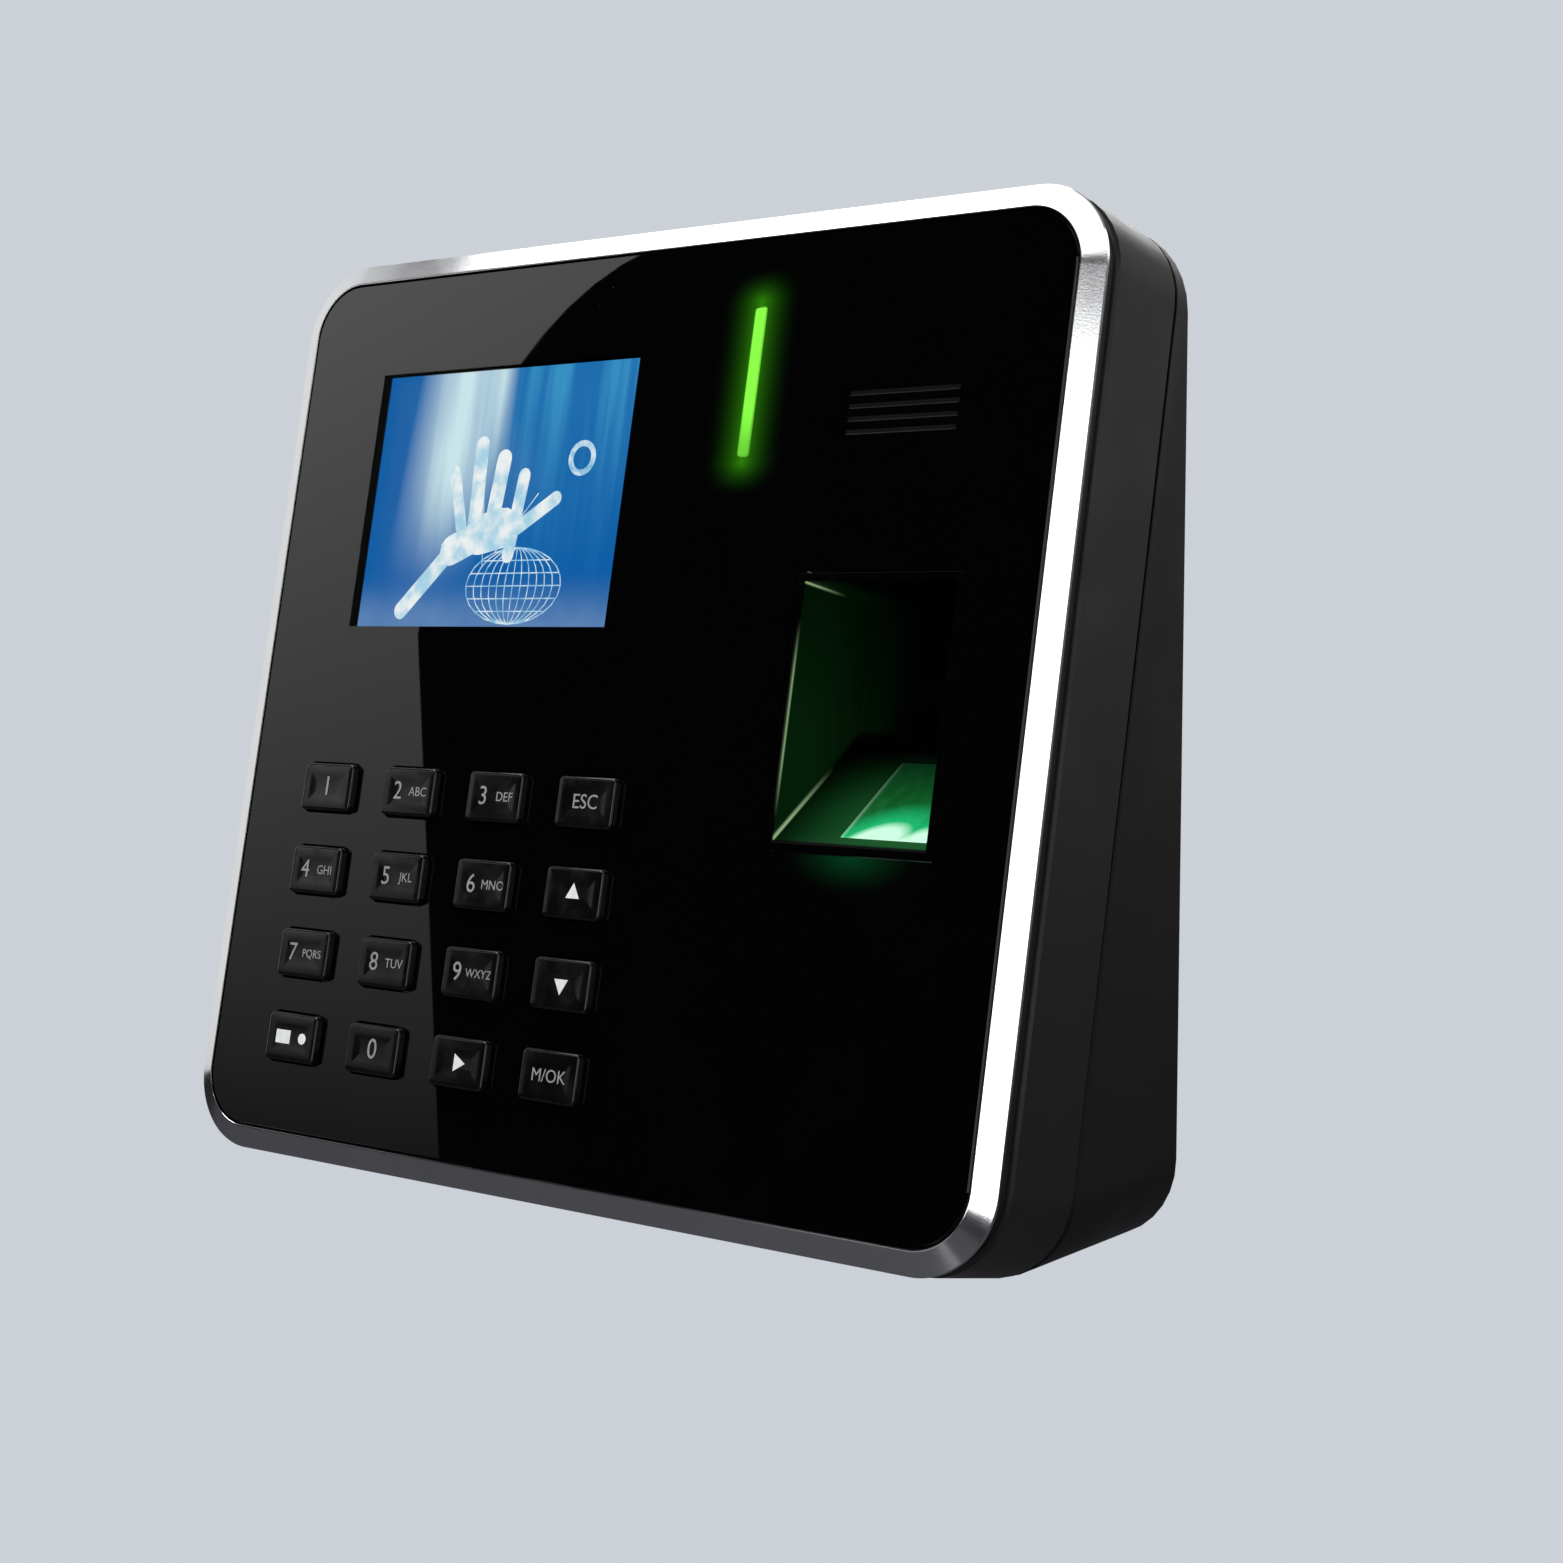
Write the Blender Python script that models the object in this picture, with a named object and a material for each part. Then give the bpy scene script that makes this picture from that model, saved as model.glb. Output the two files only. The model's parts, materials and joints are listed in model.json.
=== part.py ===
"""Wall-mounted fingerprint scanner terminal, built as an assembly of separate pieces.

World frame: +Z up, +X to the right of someone facing the terminal, the front faces -Y.
The origin is on the wall plane, behind the centre of the housing's rear outline.
Most pieces are drawn in the tilted panel frame: x to the right, y inward from the glossy
face along its normal, z up the panel, with the origin at the centre of the face.
"""

import math

import bmesh
import bpy
from mathutils import Matrix, Vector

# ---------------------------------------------------------------- driving dimensions (metres)

# Front panel
LENS_WIDTH = 0.1540
LENS_HEIGHT = 0.1440
LENS_RADIUS = 0.0090
LENS_THICKNESS = 0.0018
LENS_EDGE = 0.0003
BEZEL_BAND = 0.0039
BEZEL_SLOPE = 0.0014
PANEL_TILT = math.radians(11.72)

# Housing shells
CREASE_DEPTH = 0.0205
REAR_TOP_DEPTH = 0.0024
WALL_GAP = 0.0005
FRONT_WALL = 0.0022
FRONT_PLATE = 0.0022
REAR_WALL = 0.0028
REAR_BACK = 0.0024
REAR_DRAFT = 0.0008
GROOVE_DEPTH = 0.0008
GROOVE_END = 0.0044
LIP_THICKNESS = 0.0012
LIP_HEIGHT = 0.0020
LIP_ROOT = 0.0018
SHELL_EDGE = 0.0004
RIM_EDGE = 0.0008

# Clearances
SEAT_GAP = 0.0003
LENS_GAP = 0.00015
KEY_GAP = 0.00035
OVERRUN = 0.0010
HAIR = 0.00001

# Display
DISPLAY_WIDTH = 0.0576
DISPLAY_HEIGHT = 0.0432
DISPLAY_LEFT_MARGIN = 0.0182
DISPLAY_TOP_MARGIN = 0.0164
LCD_BORDER = 0.0030
LCD_GLASS_THICKNESS = 0.0020
LCD_FRAME_WALL = 0.0014
LCD_FRAME_FLOOR = 0.0012
LCD_CORNER = 0.0004
FLEX_THICKNESS = 0.0003
FLEX_WIDTH = 0.0160

# Keypad
KEY_COLUMNS = 4
KEY_ROWS = 4
KEY_WIDTH = 0.0118
KEY_HEIGHT = 0.0079
KEY_PITCH_X = 0.0193
KEY_PITCH_Z = 0.0139
KEY_RADIUS = 0.0008
KEY_PROUD = 0.0013
KEY_TRAVEL = 0.0009
KEY_LEFT_MARGIN = 0.0140
KEY_BOTTOM_MARGIN = 0.0114
KEY_FLANGE = 0.0008
KEY_FLANGE_THICKNESS = 0.0008
KEY_EDGE = 0.0004
MAT_SHEET = 0.0008
MAT_DOME = 0.0008
DOME_WIDTH = 0.0060
DOME_TAPER = 0.0006
MAT_BORDER_X = 0.0030
MAT_BORDER_Z = 0.0025
BOARD_THICKNESS = 0.0016

# Status light and speaker
LIGHT_WIDTH = 0.0022
LIGHT_HEIGHT = 0.0228
LIGHT_RIGHT_MARGIN = 0.0551
LIGHT_TOP_MARGIN = 0.0108
LIGHT_CORNER = 0.0004
LIGHT_FLANGE = 0.0010
LED_WIDTH = 0.0036
LED_HEIGHT = 0.0120
LED_THICKNESS = 0.0018
SLOT_COUNT = 4
SLOT_WIDTH = 0.0208
SLOT_HEIGHT = 0.0007
SLOT_PITCH = 0.00193
SLOT_RIGHT_MARGIN = 0.0169
SLOT_TOP_MARGIN = 0.0251
SPEAKER_RADIUS = 0.0120
SPEAKER_DEPTH = 0.0052
SPEAKER_CONE_DEPTH = 0.0016
SPEAKER_MAGNET_SHARE = 0.62

# Finger pocket and optical scanner
POCKET_WIDTH = 0.0270
POCKET_HEIGHT = 0.0382
POCKET_RIGHT_MARGIN = 0.0135
POCKET_RISE = 0.0002
POCKET_DEPTH = 0.0180
POCKET_WALL = 0.0012
PLATEN_WIDTH = 0.0148
PLATEN_LENGTH = 0.0180
PLATEN_RIGHT_INSET = 0.0014
PLATEN_THICKNESS = 0.0036
PLATEN_START = 0.0024
PLATEN_SINK = 0.0002
GUIDE_EAR_HEIGHT = 0.0040
GUIDE_EAR_THICKNESS = 0.0012
SCANNER_DEPTH = 0.0300
SCANNER_DROP = 0.0380
SCANNER_WALL = 0.0015
SCANNER_STAND_OFF = 0.0010
SCANNER_OPEN_TOP = 0.0100
CAMERA_SIZE = 0.0085
CAMERA_RISE = 0.0120
CAMERA_BODY = 0.0045
CAMERA_BARREL = 0.0038

# Main board, its parts and the connector bay
MAIN_BOARD_DEPTH = 0.0130
MAIN_BOARD_SIDE_MARGIN = 0.0150
MAIN_BOARD_TOP_MARGIN = 0.0045
BAY_LEFT = -0.0400
BAY_WIDTH = 0.0640
BAY_FLOOR_RISE = 0.0064
BAY_HEIGHT = 0.0360
BAY_DEPTH = 0.0315
BAY_WALL = 0.0018
JACK_REACH = 0.0010
PORT_WIDTH = 0.0118
PORT_HEIGHT = 0.0080
PORT_DEPTH = 0.0140
LATCH_WIDTH = 0.0060
LATCH_HEIGHT = 0.0018
LATCH_DEPTH = 0.0060
POWER_BORE_RADIUS = 0.0031
POWER_BORE_DEPTH = 0.0100
POWER_PIN_RADIUS = 0.0009
DOOR_PORTS = 5
DOOR_PORT_PITCH = 0.0038
DOOR_PORT_WIDTH = 0.0028
DOOR_PORT_HEIGHT = 0.0040
DOOR_PORT_DEPTH = 0.0070
PROCESSOR_SIZE = 0.0160
PROCESSOR_THICKNESS = 0.0014
PROCESSOR_RIGHT = 0.0400
PROCESSOR_DROP = 0.0320
CHIP_EDGE = 0.0004
CELL_RADIUS = 0.0100
CELL_THICKNESS = 0.0032
CELL_RIGHT = 0.0160
CELL_RISE = 0.0520
HOLDER_FLOOR = 0.0012
HOLDER_HEIGHT = 0.0036
HOLDER_WALL = 0.0014
HOLDER_FIT = 0.0004

# Service socket in the bottom edge
USB_LEFT_OF_BAY = 0.0040
USB_WIDTH = 0.0131
USB_THICKNESS = 0.0057
USB_LENGTH = 0.0140
USB_RECESS = 0.0004
USB_SHELL = 0.0004
USB_POCKET = 0.0100
USB_TONGUE_WIDTH = 0.0112
USB_TONGUE_GAP = 0.0010
USB_TONGUE_THICKNESS = 0.0019

# Tamper switch and its plunger
TAMPER_X = 0.0140
TAMPER_Z = 0.0300
TAMPER_RADIUS = 0.0014
TAMPER_TRAVEL = 0.0015
SWITCH_SIZE = 0.0070
SWITCH_HEIGHT = 0.0050
SWITCH_BORE_DEPTH = 0.0036
COLLAR_DEPTH = 0.0260
COLLAR_SIZE = 0.0011
PLUNGER_EDGE = 0.0005

# Wall plate
PLATE_WIDTH = 0.1100
PLATE_TOP_MARGIN = 0.0228
PLATE_BELOW_BAY = 0.0006
PLATE_THICKNESS = 0.0016
PLATE_RADIUS = 0.0050
PLATE_FIT = 0.0005
RECESS_PAD = 0.0030
RECESS_SIDE = 0.0020
HEAD_RELIEF_RADIUS = 0.0050
HEAD_RELIEF_DEPTH = 0.0022
HOOK_SPREAD = 0.0700
HOOK_WIDTH = 0.0100
HOOK_HEIGHT = 0.0060
HOOK_BELOW_TOP = 0.0160
HOOK_SLOT_DROP = 0.0045
TAB_WIDTH = 0.0180
TAB_REACH = 0.0130
TAB_RISE = 0.0030
TAB_HOLE_INSET = 0.0050
WINDOW_SIDE_MARGIN = 0.0040
WINDOW_ABOVE_TAB = 0.0060
WINDOW_BELOW_CEILING = 0.0020
WINDOW_CORNER = 0.0030
WALL_SLOT_WIDTH = 0.0048
WALL_SLOT_HEIGHT = 0.0090
WALL_SLOT_SIDE_INSET = 0.0120
WALL_SLOT_BELOW_TOP = 0.0300
WALL_SLOT_ABOVE_BOTTOM = 0.0180

# Screws
SCREW_RADIUS = 0.00145
SCREW_HEAD_RADIUS = 0.0028
SCREW_HEAD_HEIGHT = 0.0018
SCREW_CLEARANCE = 0.00025
POST_RADIUS = 0.0034
BOARD_POST_RADIUS = 0.0030
COVER_SCREW_LENGTH = 0.0120
COVER_SCREW_INSET = 0.0105
COVER_SCREW_RISE = 0.0200
BOARD_SCREW_LENGTH = 0.0070
BOARD_SCREW_SPARE = 0.0005
BOARD_HOLE_INSET = 0.0035
LOCK_SCREW_LENGTH = 0.0150
LOCK_SCREW_SINK = 0.0005
HEAD_WELL_GAP = 0.0004
HEAD_SEAT_DEPTH = 0.0023
WELL_LENGTH = 0.0600
COLUMN_WALL = 0.0019

# Fineness of the round parts
CORNER_STEPS = 8
SMALL_CORNER_STEPS = 2
ROUND_STEPS = 16
SCREW_STEPS = 12

# ---------------------------------------------------------------- values worked out from them

HALF_LENS_X = LENS_WIDTH / 2
HALF_LENS_Z = LENS_HEIGHT / 2
HALF_HOUSING_X = HALF_LENS_X + BEZEL_BAND
HALF_HOUSING_Z = HALF_LENS_Z + BEZEL_BAND
HOUSING_RADIUS = LENS_RADIUS + BEZEL_BAND
SIN_TILT = math.sin(PANEL_TILT)
COS_TILT = math.cos(PANEL_TILT)

# The top edge of the crease stands REAR_TOP_DEPTH in front of the rear rim.
CREASE_Y = -(WALL_GAP + REAR_TOP_DEPTH + HALF_HOUSING_Z * SIN_TILT)
FACE_CENTRE = Vector((0.0, CREASE_Y - CREASE_DEPTH * COS_TILT, CREASE_DEPTH * SIN_TILT))
REAR_HALF_Z = HALF_HOUSING_Z * COS_TILT
REAR_INNER_Y = -(WALL_GAP + REAR_BACK)

PLATE_BACK = LENS_THICKNESS + SEAT_GAP + FRONT_PLATE      # inner face of the front cover's plate

DISPLAY_X = -HALF_LENS_X + DISPLAY_LEFT_MARGIN + DISPLAY_WIDTH / 2
DISPLAY_Z = HALF_LENS_Z - DISPLAY_TOP_MARGIN - DISPLAY_HEIGHT / 2
LIGHT_X = HALF_LENS_X - LIGHT_RIGHT_MARGIN
LIGHT_Z = HALF_LENS_Z - LIGHT_TOP_MARGIN - LIGHT_HEIGHT / 2
SPEAKER_X = HALF_LENS_X - SLOT_RIGHT_MARGIN - SLOT_WIDTH / 2
SPEAKER_Z = HALF_LENS_Z - SLOT_TOP_MARGIN - SLOT_PITCH * (SLOT_COUNT - 1) / 2
POCKET_X = HALF_LENS_X - POCKET_RIGHT_MARGIN - POCKET_WIDTH / 2
POCKET_BOTTOM = POCKET_RISE - POCKET_HEIGHT / 2
POCKET_TOP = POCKET_RISE + POCKET_HEIGHT / 2
PLATEN_X = POCKET_X + POCKET_WIDTH / 2 - PLATEN_RIGHT_INSET - PLATEN_WIDTH / 2

FLANGE_FRONT = PLATE_BACK + SEAT_GAP
FLANGE_BACK = FLANGE_FRONT + KEY_FLANGE_THICKNESS
DOME_FRONT = FLANGE_BACK + KEY_TRAVEL + SEAT_GAP
MAT_FRONT = DOME_FRONT + MAT_DOME
MAT_BACK = MAT_FRONT + MAT_SHEET
KEYBOARD_FRONT = MAT_BACK + SEAT_GAP
KEYBOARD_BACK = KEYBOARD_FRONT + BOARD_THICKNESS

MAIN_BOARD_BACK = MAIN_BOARD_DEPTH + BOARD_THICKNESS
PART_SEAT = MAIN_BOARD_BACK + SEAT_GAP

BAY_FLOOR = -REAR_HALF_Z + BAY_FLOOR_RISE
BAY_CEILING = BAY_FLOOR + BAY_HEIGHT
BAY_X = BAY_LEFT + BAY_WIDTH / 2
BAY_FRONT = -(WALL_GAP + BAY_DEPTH)


def key_place(row, column):
    """Centre of a key on the panel, counted from the top left key."""
    first_x = -HALF_LENS_X + KEY_LEFT_MARGIN + KEY_WIDTH / 2
    last_z = -HALF_LENS_Z + KEY_BOTTOM_MARGIN + KEY_HEIGHT / 2
    return first_x + column * KEY_PITCH_X, last_z + (KEY_ROWS - 1 - row) * KEY_PITCH_Z


def panel_height(world_z, depth):
    """Height up the panel of the point at a world height and a depth behind the face."""
    return (world_z - FACE_CENTRE.z + depth * SIN_TILT) / COS_TILT


# ---------------------------------------------------------------- scene, collections, materials

for old in list(bpy.data.objects):
    bpy.data.objects.remove(old, do_unlink=True)

PIECES = bpy.data.collections.new("fingerprint_terminal")
CUTTERS = bpy.data.collections.new("cutters")
bpy.context.scene.collection.children.link(PIECES)
bpy.context.scene.collection.children.link(CUTTERS)

PANEL = bpy.data.objects.new("panel_frame", None)
PANEL.location = FACE_CENTRE
PANEL.rotation_euler = (-PANEL_TILT, 0.0, 0.0)
PIECES.objects.link(PANEL)


def material(name, colour, roughness, metallic=0.0):
    """A plain Principled BSDF material."""
    made = bpy.data.materials.new(name)
    made.use_nodes = True
    shader = made.node_tree.nodes["Principled BSDF"]
    shader.inputs["Base Color"].default_value = (*colour, 1.0)
    shader.inputs["Roughness"].default_value = roughness
    shader.inputs["Metallic"].default_value = metallic
    return made


# ---------------------------------------------------------------- shape helpers


def finish(name, mesh_source, finish_material=None, parent=PANEL, smooth=False):
    """Turn a bmesh into a named piece, or into a cutter when it has no material."""
    bmesh.ops.recalc_face_normals(mesh_source, faces=mesh_source.faces)
    mesh = bpy.data.meshes.new(name)
    mesh_source.to_mesh(mesh)
    mesh_source.free()
    if smooth:
        mesh.shade_smooth()
        mesh.set_sharp_from_angle(angle=math.radians(35))
    made = bpy.data.objects.new(name, mesh)
    made.parent = parent
    if finish_material is None:
        CUTTERS.objects.link(made)
        made.hide_render = True
        made.display_type = "WIRE"
    else:
        PIECES.objects.link(made)
        mesh.materials.append(finish_material)
    return made


def box_mesh(low, high, corner=0.0, axis=1, steps=SMALL_CORNER_STEPS):
    """A box between two corners, with its four edges along one axis rounded."""
    made = bmesh.new()
    size = [high[i] - low[i] for i in range(3)]
    centre = [(high[i] + low[i]) / 2 for i in range(3)]
    matrix = Matrix.Translation(centre) @ Matrix.Diagonal((*size, 1.0))
    bmesh.ops.create_cube(made, size=1.0, matrix=matrix)
    if corner > 0.0:
        along = [e for e in made.edges
                 if abs(abs((e.verts[1].co - e.verts[0].co)[axis]) - size[axis]) < 1e-7]
        bmesh.ops.bevel(made, geom=along, offset=corner, segments=steps, profile=0.5,
                        affect="EDGES", clamp_overlap=False)
    return made


def slab_mesh(x, z, width, height, front, back, corner=0.0, steps=SMALL_CORNER_STEPS):
    """A rounded slab in the panel frame, between two depths."""
    low = (x - width / 2, front, z - height / 2)
    high = (x + width / 2, back, z + height / 2)
    return box_mesh(low, high, corner, 1, steps)


def rod_mesh(x, z, radius, front, back, steps=ROUND_STEPS, tip_radius=None):
    """A round rod along the panel's normal."""
    made = bmesh.new()
    turn = Matrix.Rotation(math.radians(-90), 4, "X")
    matrix = Matrix.Translation((x, (front + back) / 2, z)) @ turn
    bmesh.ops.create_cone(made, cap_ends=True, segments=steps, radius1=radius,
                          radius2=radius if tip_radius is None else tip_radius,
                          depth=back - front, matrix=matrix)
    return made


def ring_points(half_x, half_z, radius, steps):
    """Points of a rounded rectangle, anticlockwise from the right-hand side."""
    points = []
    corners = ((1, 1, 0.0), (-1, 1, 0.5), (-1, -1, 1.0), (1, -1, 1.5))
    for side_x, side_z, start in corners:
        centre_x = side_x * (half_x - radius)
        centre_z = side_z * (half_z - radius)
        for step in range(steps + 1):
            angle = math.pi * (start + 0.5 * step / steps)
            points.append((centre_x + radius * math.cos(angle), centre_z + radius * math.sin(angle)))
    return points


def loft_mesh(rings, closed=False):
    """Skin a list of equal rings of points; open lofts are capped at both ends."""
    made = bmesh.new()
    rows = [[made.verts.new(point) for point in ring] for ring in rings]
    pairs = list(zip(rows, rows[1:]))
    if closed:
        pairs.append((rows[-1], rows[0]))
    else:
        made.faces.new(rows[0])
        made.faces.new(rows[-1])
    count = len(rows[0])
    for first, second in pairs:
        for i in range(count):
            j = (i + 1) % count
            made.faces.new((first[i], first[j], second[j], second[i]))
    return made


def panel_ring(inset, depth, steps=CORNER_STEPS):
    """Housing outline moved inward by an inset, at a depth behind the face."""
    points = ring_points(HALF_HOUSING_X - inset, HALF_HOUSING_Z - inset,
                         max(HOUSING_RADIUS - inset, 0.001), steps)
    return [(x, depth, z) for x, z in points]


def to_world(point):
    """World position of a point in the panel frame."""
    x, depth, z = point
    return Vector((x, FACE_CENTRE.y + z * SIN_TILT + depth * COS_TILT,
                   FACE_CENTRE.z + z * COS_TILT - depth * SIN_TILT))


def rear_ring(inset, y):
    """Rear outline moved inward by an inset, on a plane parallel to the wall."""
    half_x = HALF_HOUSING_X - REAR_DRAFT - inset
    points = ring_points(half_x, REAR_HALF_Z - inset, max(HOUSING_RADIUS - inset, 0.001), CORNER_STEPS)
    return [(x, y, z) for x, z in points]


def profile_prism(outline, x_low, x_high):
    """A prism along x whose section is given by (depth, height) points."""
    made = bmesh.new()
    face = made.faces.new([made.verts.new((x_low, depth, z)) for depth, z in outline])
    grown = bmesh.ops.extrude_face_region(made, geom=[face])
    moved = [part for part in grown["geom"] if isinstance(part, bmesh.types.BMVert)]
    bmesh.ops.translate(made, verts=moved, vec=(x_high - x_low, 0.0, 0.0))
    return made


def boolean(piece, other, operation="DIFFERENCE"):
    """Cut or join a piece with another object, exactly."""
    modifier = piece.modifiers.new(operation.lower(), "BOOLEAN")
    modifier.operation = operation
    modifier.solver = "EXACT"
    modifier.object = other


def cut(piece, name, mesh_source, parent=PANEL):
    """Cut a piece with a new cutter."""
    boolean(piece, finish(name, mesh_source, parent=parent))


def join(piece, name, mesh_source, parent=PANEL):
    """Add a volume to a piece."""
    boolean(piece, finish(name, mesh_source, parent=parent), "UNION")


def stepped_mesh(x, z, sections):
    """A rounded block along the normal whose size changes at (width, height, corner, depth) steps."""
    rings = []
    for width, height, corner, depth in sections:
        ring = ring_points(width / 2, height / 2, corner, SMALL_CORNER_STEPS)
        rings.append([(x + px, depth, z + pz) for px, pz in ring])
    return loft_mesh(rings)


def turned_mesh(x, z, profile, steps=ROUND_STEPS):
    """A (radius, depth) profile turned about the normal; it starts and ends on the axis."""
    made = bmesh.new()
    points = [made.verts.new((x + radius, depth, z)) for radius, depth in profile]
    edges = [made.edges.new(pair) for pair in zip(points, points[1:])]
    bmesh.ops.spin(made, geom=points + edges, cent=(x, 0.0, z), axis=(0.0, 1.0, 0.0),
                   angle=math.tau, steps=steps, use_merge=True)
    bmesh.ops.remove_doubles(made, verts=made.verts, dist=1e-6)
    return made


def upright_rod(x, y, radius, low, high):
    """A round rod along its parent's z."""
    made = bmesh.new()
    bmesh.ops.create_cone(made, cap_ends=True, segments=ROUND_STEPS, radius1=radius, radius2=radius,
                          depth=high - low, matrix=Matrix.Translation((x, y, (low + high) / 2)))
    return made


BLACK_GLOSS = material("black_gloss_acrylic", (0.006, 0.006, 0.007), 0.06)
SILVER = material("polished_silver", (0.82, 0.83, 0.85), 0.16, 1.0)
DARK_ABS = material("dark_satin_abs", (0.028, 0.028, 0.030), 0.42)
KEY_BLACK = material("key_black_gloss", (0.010, 0.010, 0.011), 0.12)
SILICONE = material("grey_silicone", (0.12, 0.12, 0.13), 0.70)
SCREEN = material("display_glass", (0.03, 0.16, 0.42), 0.10)
TRAY = material("stamped_tray", (0.60, 0.61, 0.63), 0.35, 1.0)
CLEAR_GREEN = material("green_light_guide", (0.15, 0.85, 0.05), 0.20)
BOARD_GREEN = material("circuit_board", (0.02, 0.16, 0.06), 0.45)
CHIP = material("chip_black", (0.02, 0.02, 0.022), 0.50)
STEEL = material("zinc_plated_steel", (0.62, 0.63, 0.64), 0.34, 1.0)
SCANNER_BLACK = material("scanner_black", (0.015, 0.018, 0.016), 0.35)
PRISM_GLASS = material("prism_glass", (0.10, 0.75, 0.40), 0.05)
CONNECTOR = material("connector_plastic", (0.05, 0.05, 0.055), 0.48)
TERMINAL_GREEN = material("terminal_green", (0.03, 0.30, 0.12), 0.45)
FLEX_AMBER = material("flex_amber", (0.55, 0.27, 0.05), 0.30)

# ---------------------------------------------------------------- openings through the front


def key_openings(front, back, label):
    """Cutters for the sixteen key holes, joined into one object."""
    holes = bmesh.new()
    for row in range(KEY_ROWS):
        for column in range(KEY_COLUMNS):
            x, z = key_place(row, column)
            hole = slab_mesh(x, z, KEY_WIDTH + 2 * KEY_GAP, KEY_HEIGHT + 2 * KEY_GAP,
                             front, back, KEY_RADIUS + KEY_GAP)
            copy = bpy.data.meshes.new("key_hole")
            hole.to_mesh(copy)
            hole.free()
            holes.from_mesh(copy)
            bpy.data.meshes.remove(copy)
    return finish(label, holes)


def open_front(piece, label, front, back):
    """Cut everything that passes through the lens and the plate behind it."""
    boolean(piece, key_openings(front, back, label + "_key_holes"))
    cut(piece, label + "_pocket_hole",
        slab_mesh(POCKET_X, POCKET_RISE, POCKET_WIDTH + 2 * (POCKET_WALL + LENS_GAP),
                  POCKET_HEIGHT + 2 * (POCKET_WALL + LENS_GAP), front, back))
    cut(piece, label + "_light_slot",
        slab_mesh(LIGHT_X, LIGHT_Z, LIGHT_WIDTH + 2 * LENS_GAP, LIGHT_HEIGHT + 2 * LENS_GAP,
                  front, back, 0.0005))
    for index in range(SLOT_COUNT):
        height = SPEAKER_Z + SLOT_PITCH * (index - (SLOT_COUNT - 1) / 2)
        cut(piece, f"{label}_speaker_slot_{index}",
            slab_mesh(SPEAKER_X, height, SLOT_WIDTH, SLOT_HEIGHT, front, back, SLOT_HEIGHT * 0.45))


# ---------------------------------------------------------------- front lens and bezel


def build_front_lens():
    """Glossy acrylic panel with a small polished edge."""
    rings = []
    for inset, depth in ((LENS_EDGE, 0.0), (0.0, LENS_EDGE), (0.0, LENS_THICKNESS)):
        points = ring_points(HALF_LENS_X - inset, HALF_LENS_Z - inset, LENS_RADIUS - inset, CORNER_STEPS)
        rings.append([(x, depth, z) for x, z in points])
    lens = finish("front_lens", loft_mesh(rings), BLACK_GLOSS)
    open_front(lens, "lens", -OVERRUN, LENS_THICKNESS + OVERRUN)


def build_bezel_frame():
    """Plated frame around the lens; its face slopes back towards the outside."""
    inner = BEZEL_BAND - LENS_GAP
    back = LENS_THICKNESS
    section = ((inner, 0.0001), (inner - 0.0003, 0.0), (0.0003, BEZEL_SLOPE - 0.0002),
               (0.0, BEZEL_SLOPE + 0.0002), (0.0005, back), (inner, back))
    finish("bezel_frame", loft_mesh([panel_ring(inset, depth) for inset, depth in section], closed=True),
           SILVER)


# ---------------------------------------------------------------- front cover

COVER_SCREWS = [(side * (HALF_HOUSING_X - COVER_SCREW_INSET), height)
                for height in (HALF_HOUSING_Z - COVER_SCREW_INSET, COVER_SCREW_RISE - HALF_HOUSING_Z)
                for side in (-1, 1)]

BOARD_LEFT = -HALF_LENS_X + MAIN_BOARD_SIDE_MARGIN
BOARD_RIGHT = POCKET_X - POCKET_WIDTH / 2 - POCKET_WALL - 0.0025
BOARD_TOP = HALF_LENS_Z - MAIN_BOARD_TOP_MARGIN
BOARD_BOTTOM = panel_height(BAY_CEILING + BAY_WALL, MAIN_BOARD_DEPTH) + 0.0010
BOARD_SCREWS = [(BOARD_LEFT + BOARD_HOLE_INSET, BOARD_TOP - BOARD_HOLE_INSET),
                (BOARD_RIGHT - BOARD_HOLE_INSET, BOARD_TOP - BOARD_HOLE_INSET),
                (BOARD_LEFT + BOARD_HOLE_INSET, panel_height(0.0, MAIN_BOARD_DEPTH)),
                (BOARD_RIGHT - BOARD_HOLE_INSET, panel_height(0.0, MAIN_BOARD_DEPTH))]

USB_X = BAY_X - USB_LEFT_OF_BAY
USB_FRONT = KEYBOARD_BACK + SEAT_GAP
USB_MOUTH = -HALF_HOUSING_Z + USB_RECESS


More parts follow.
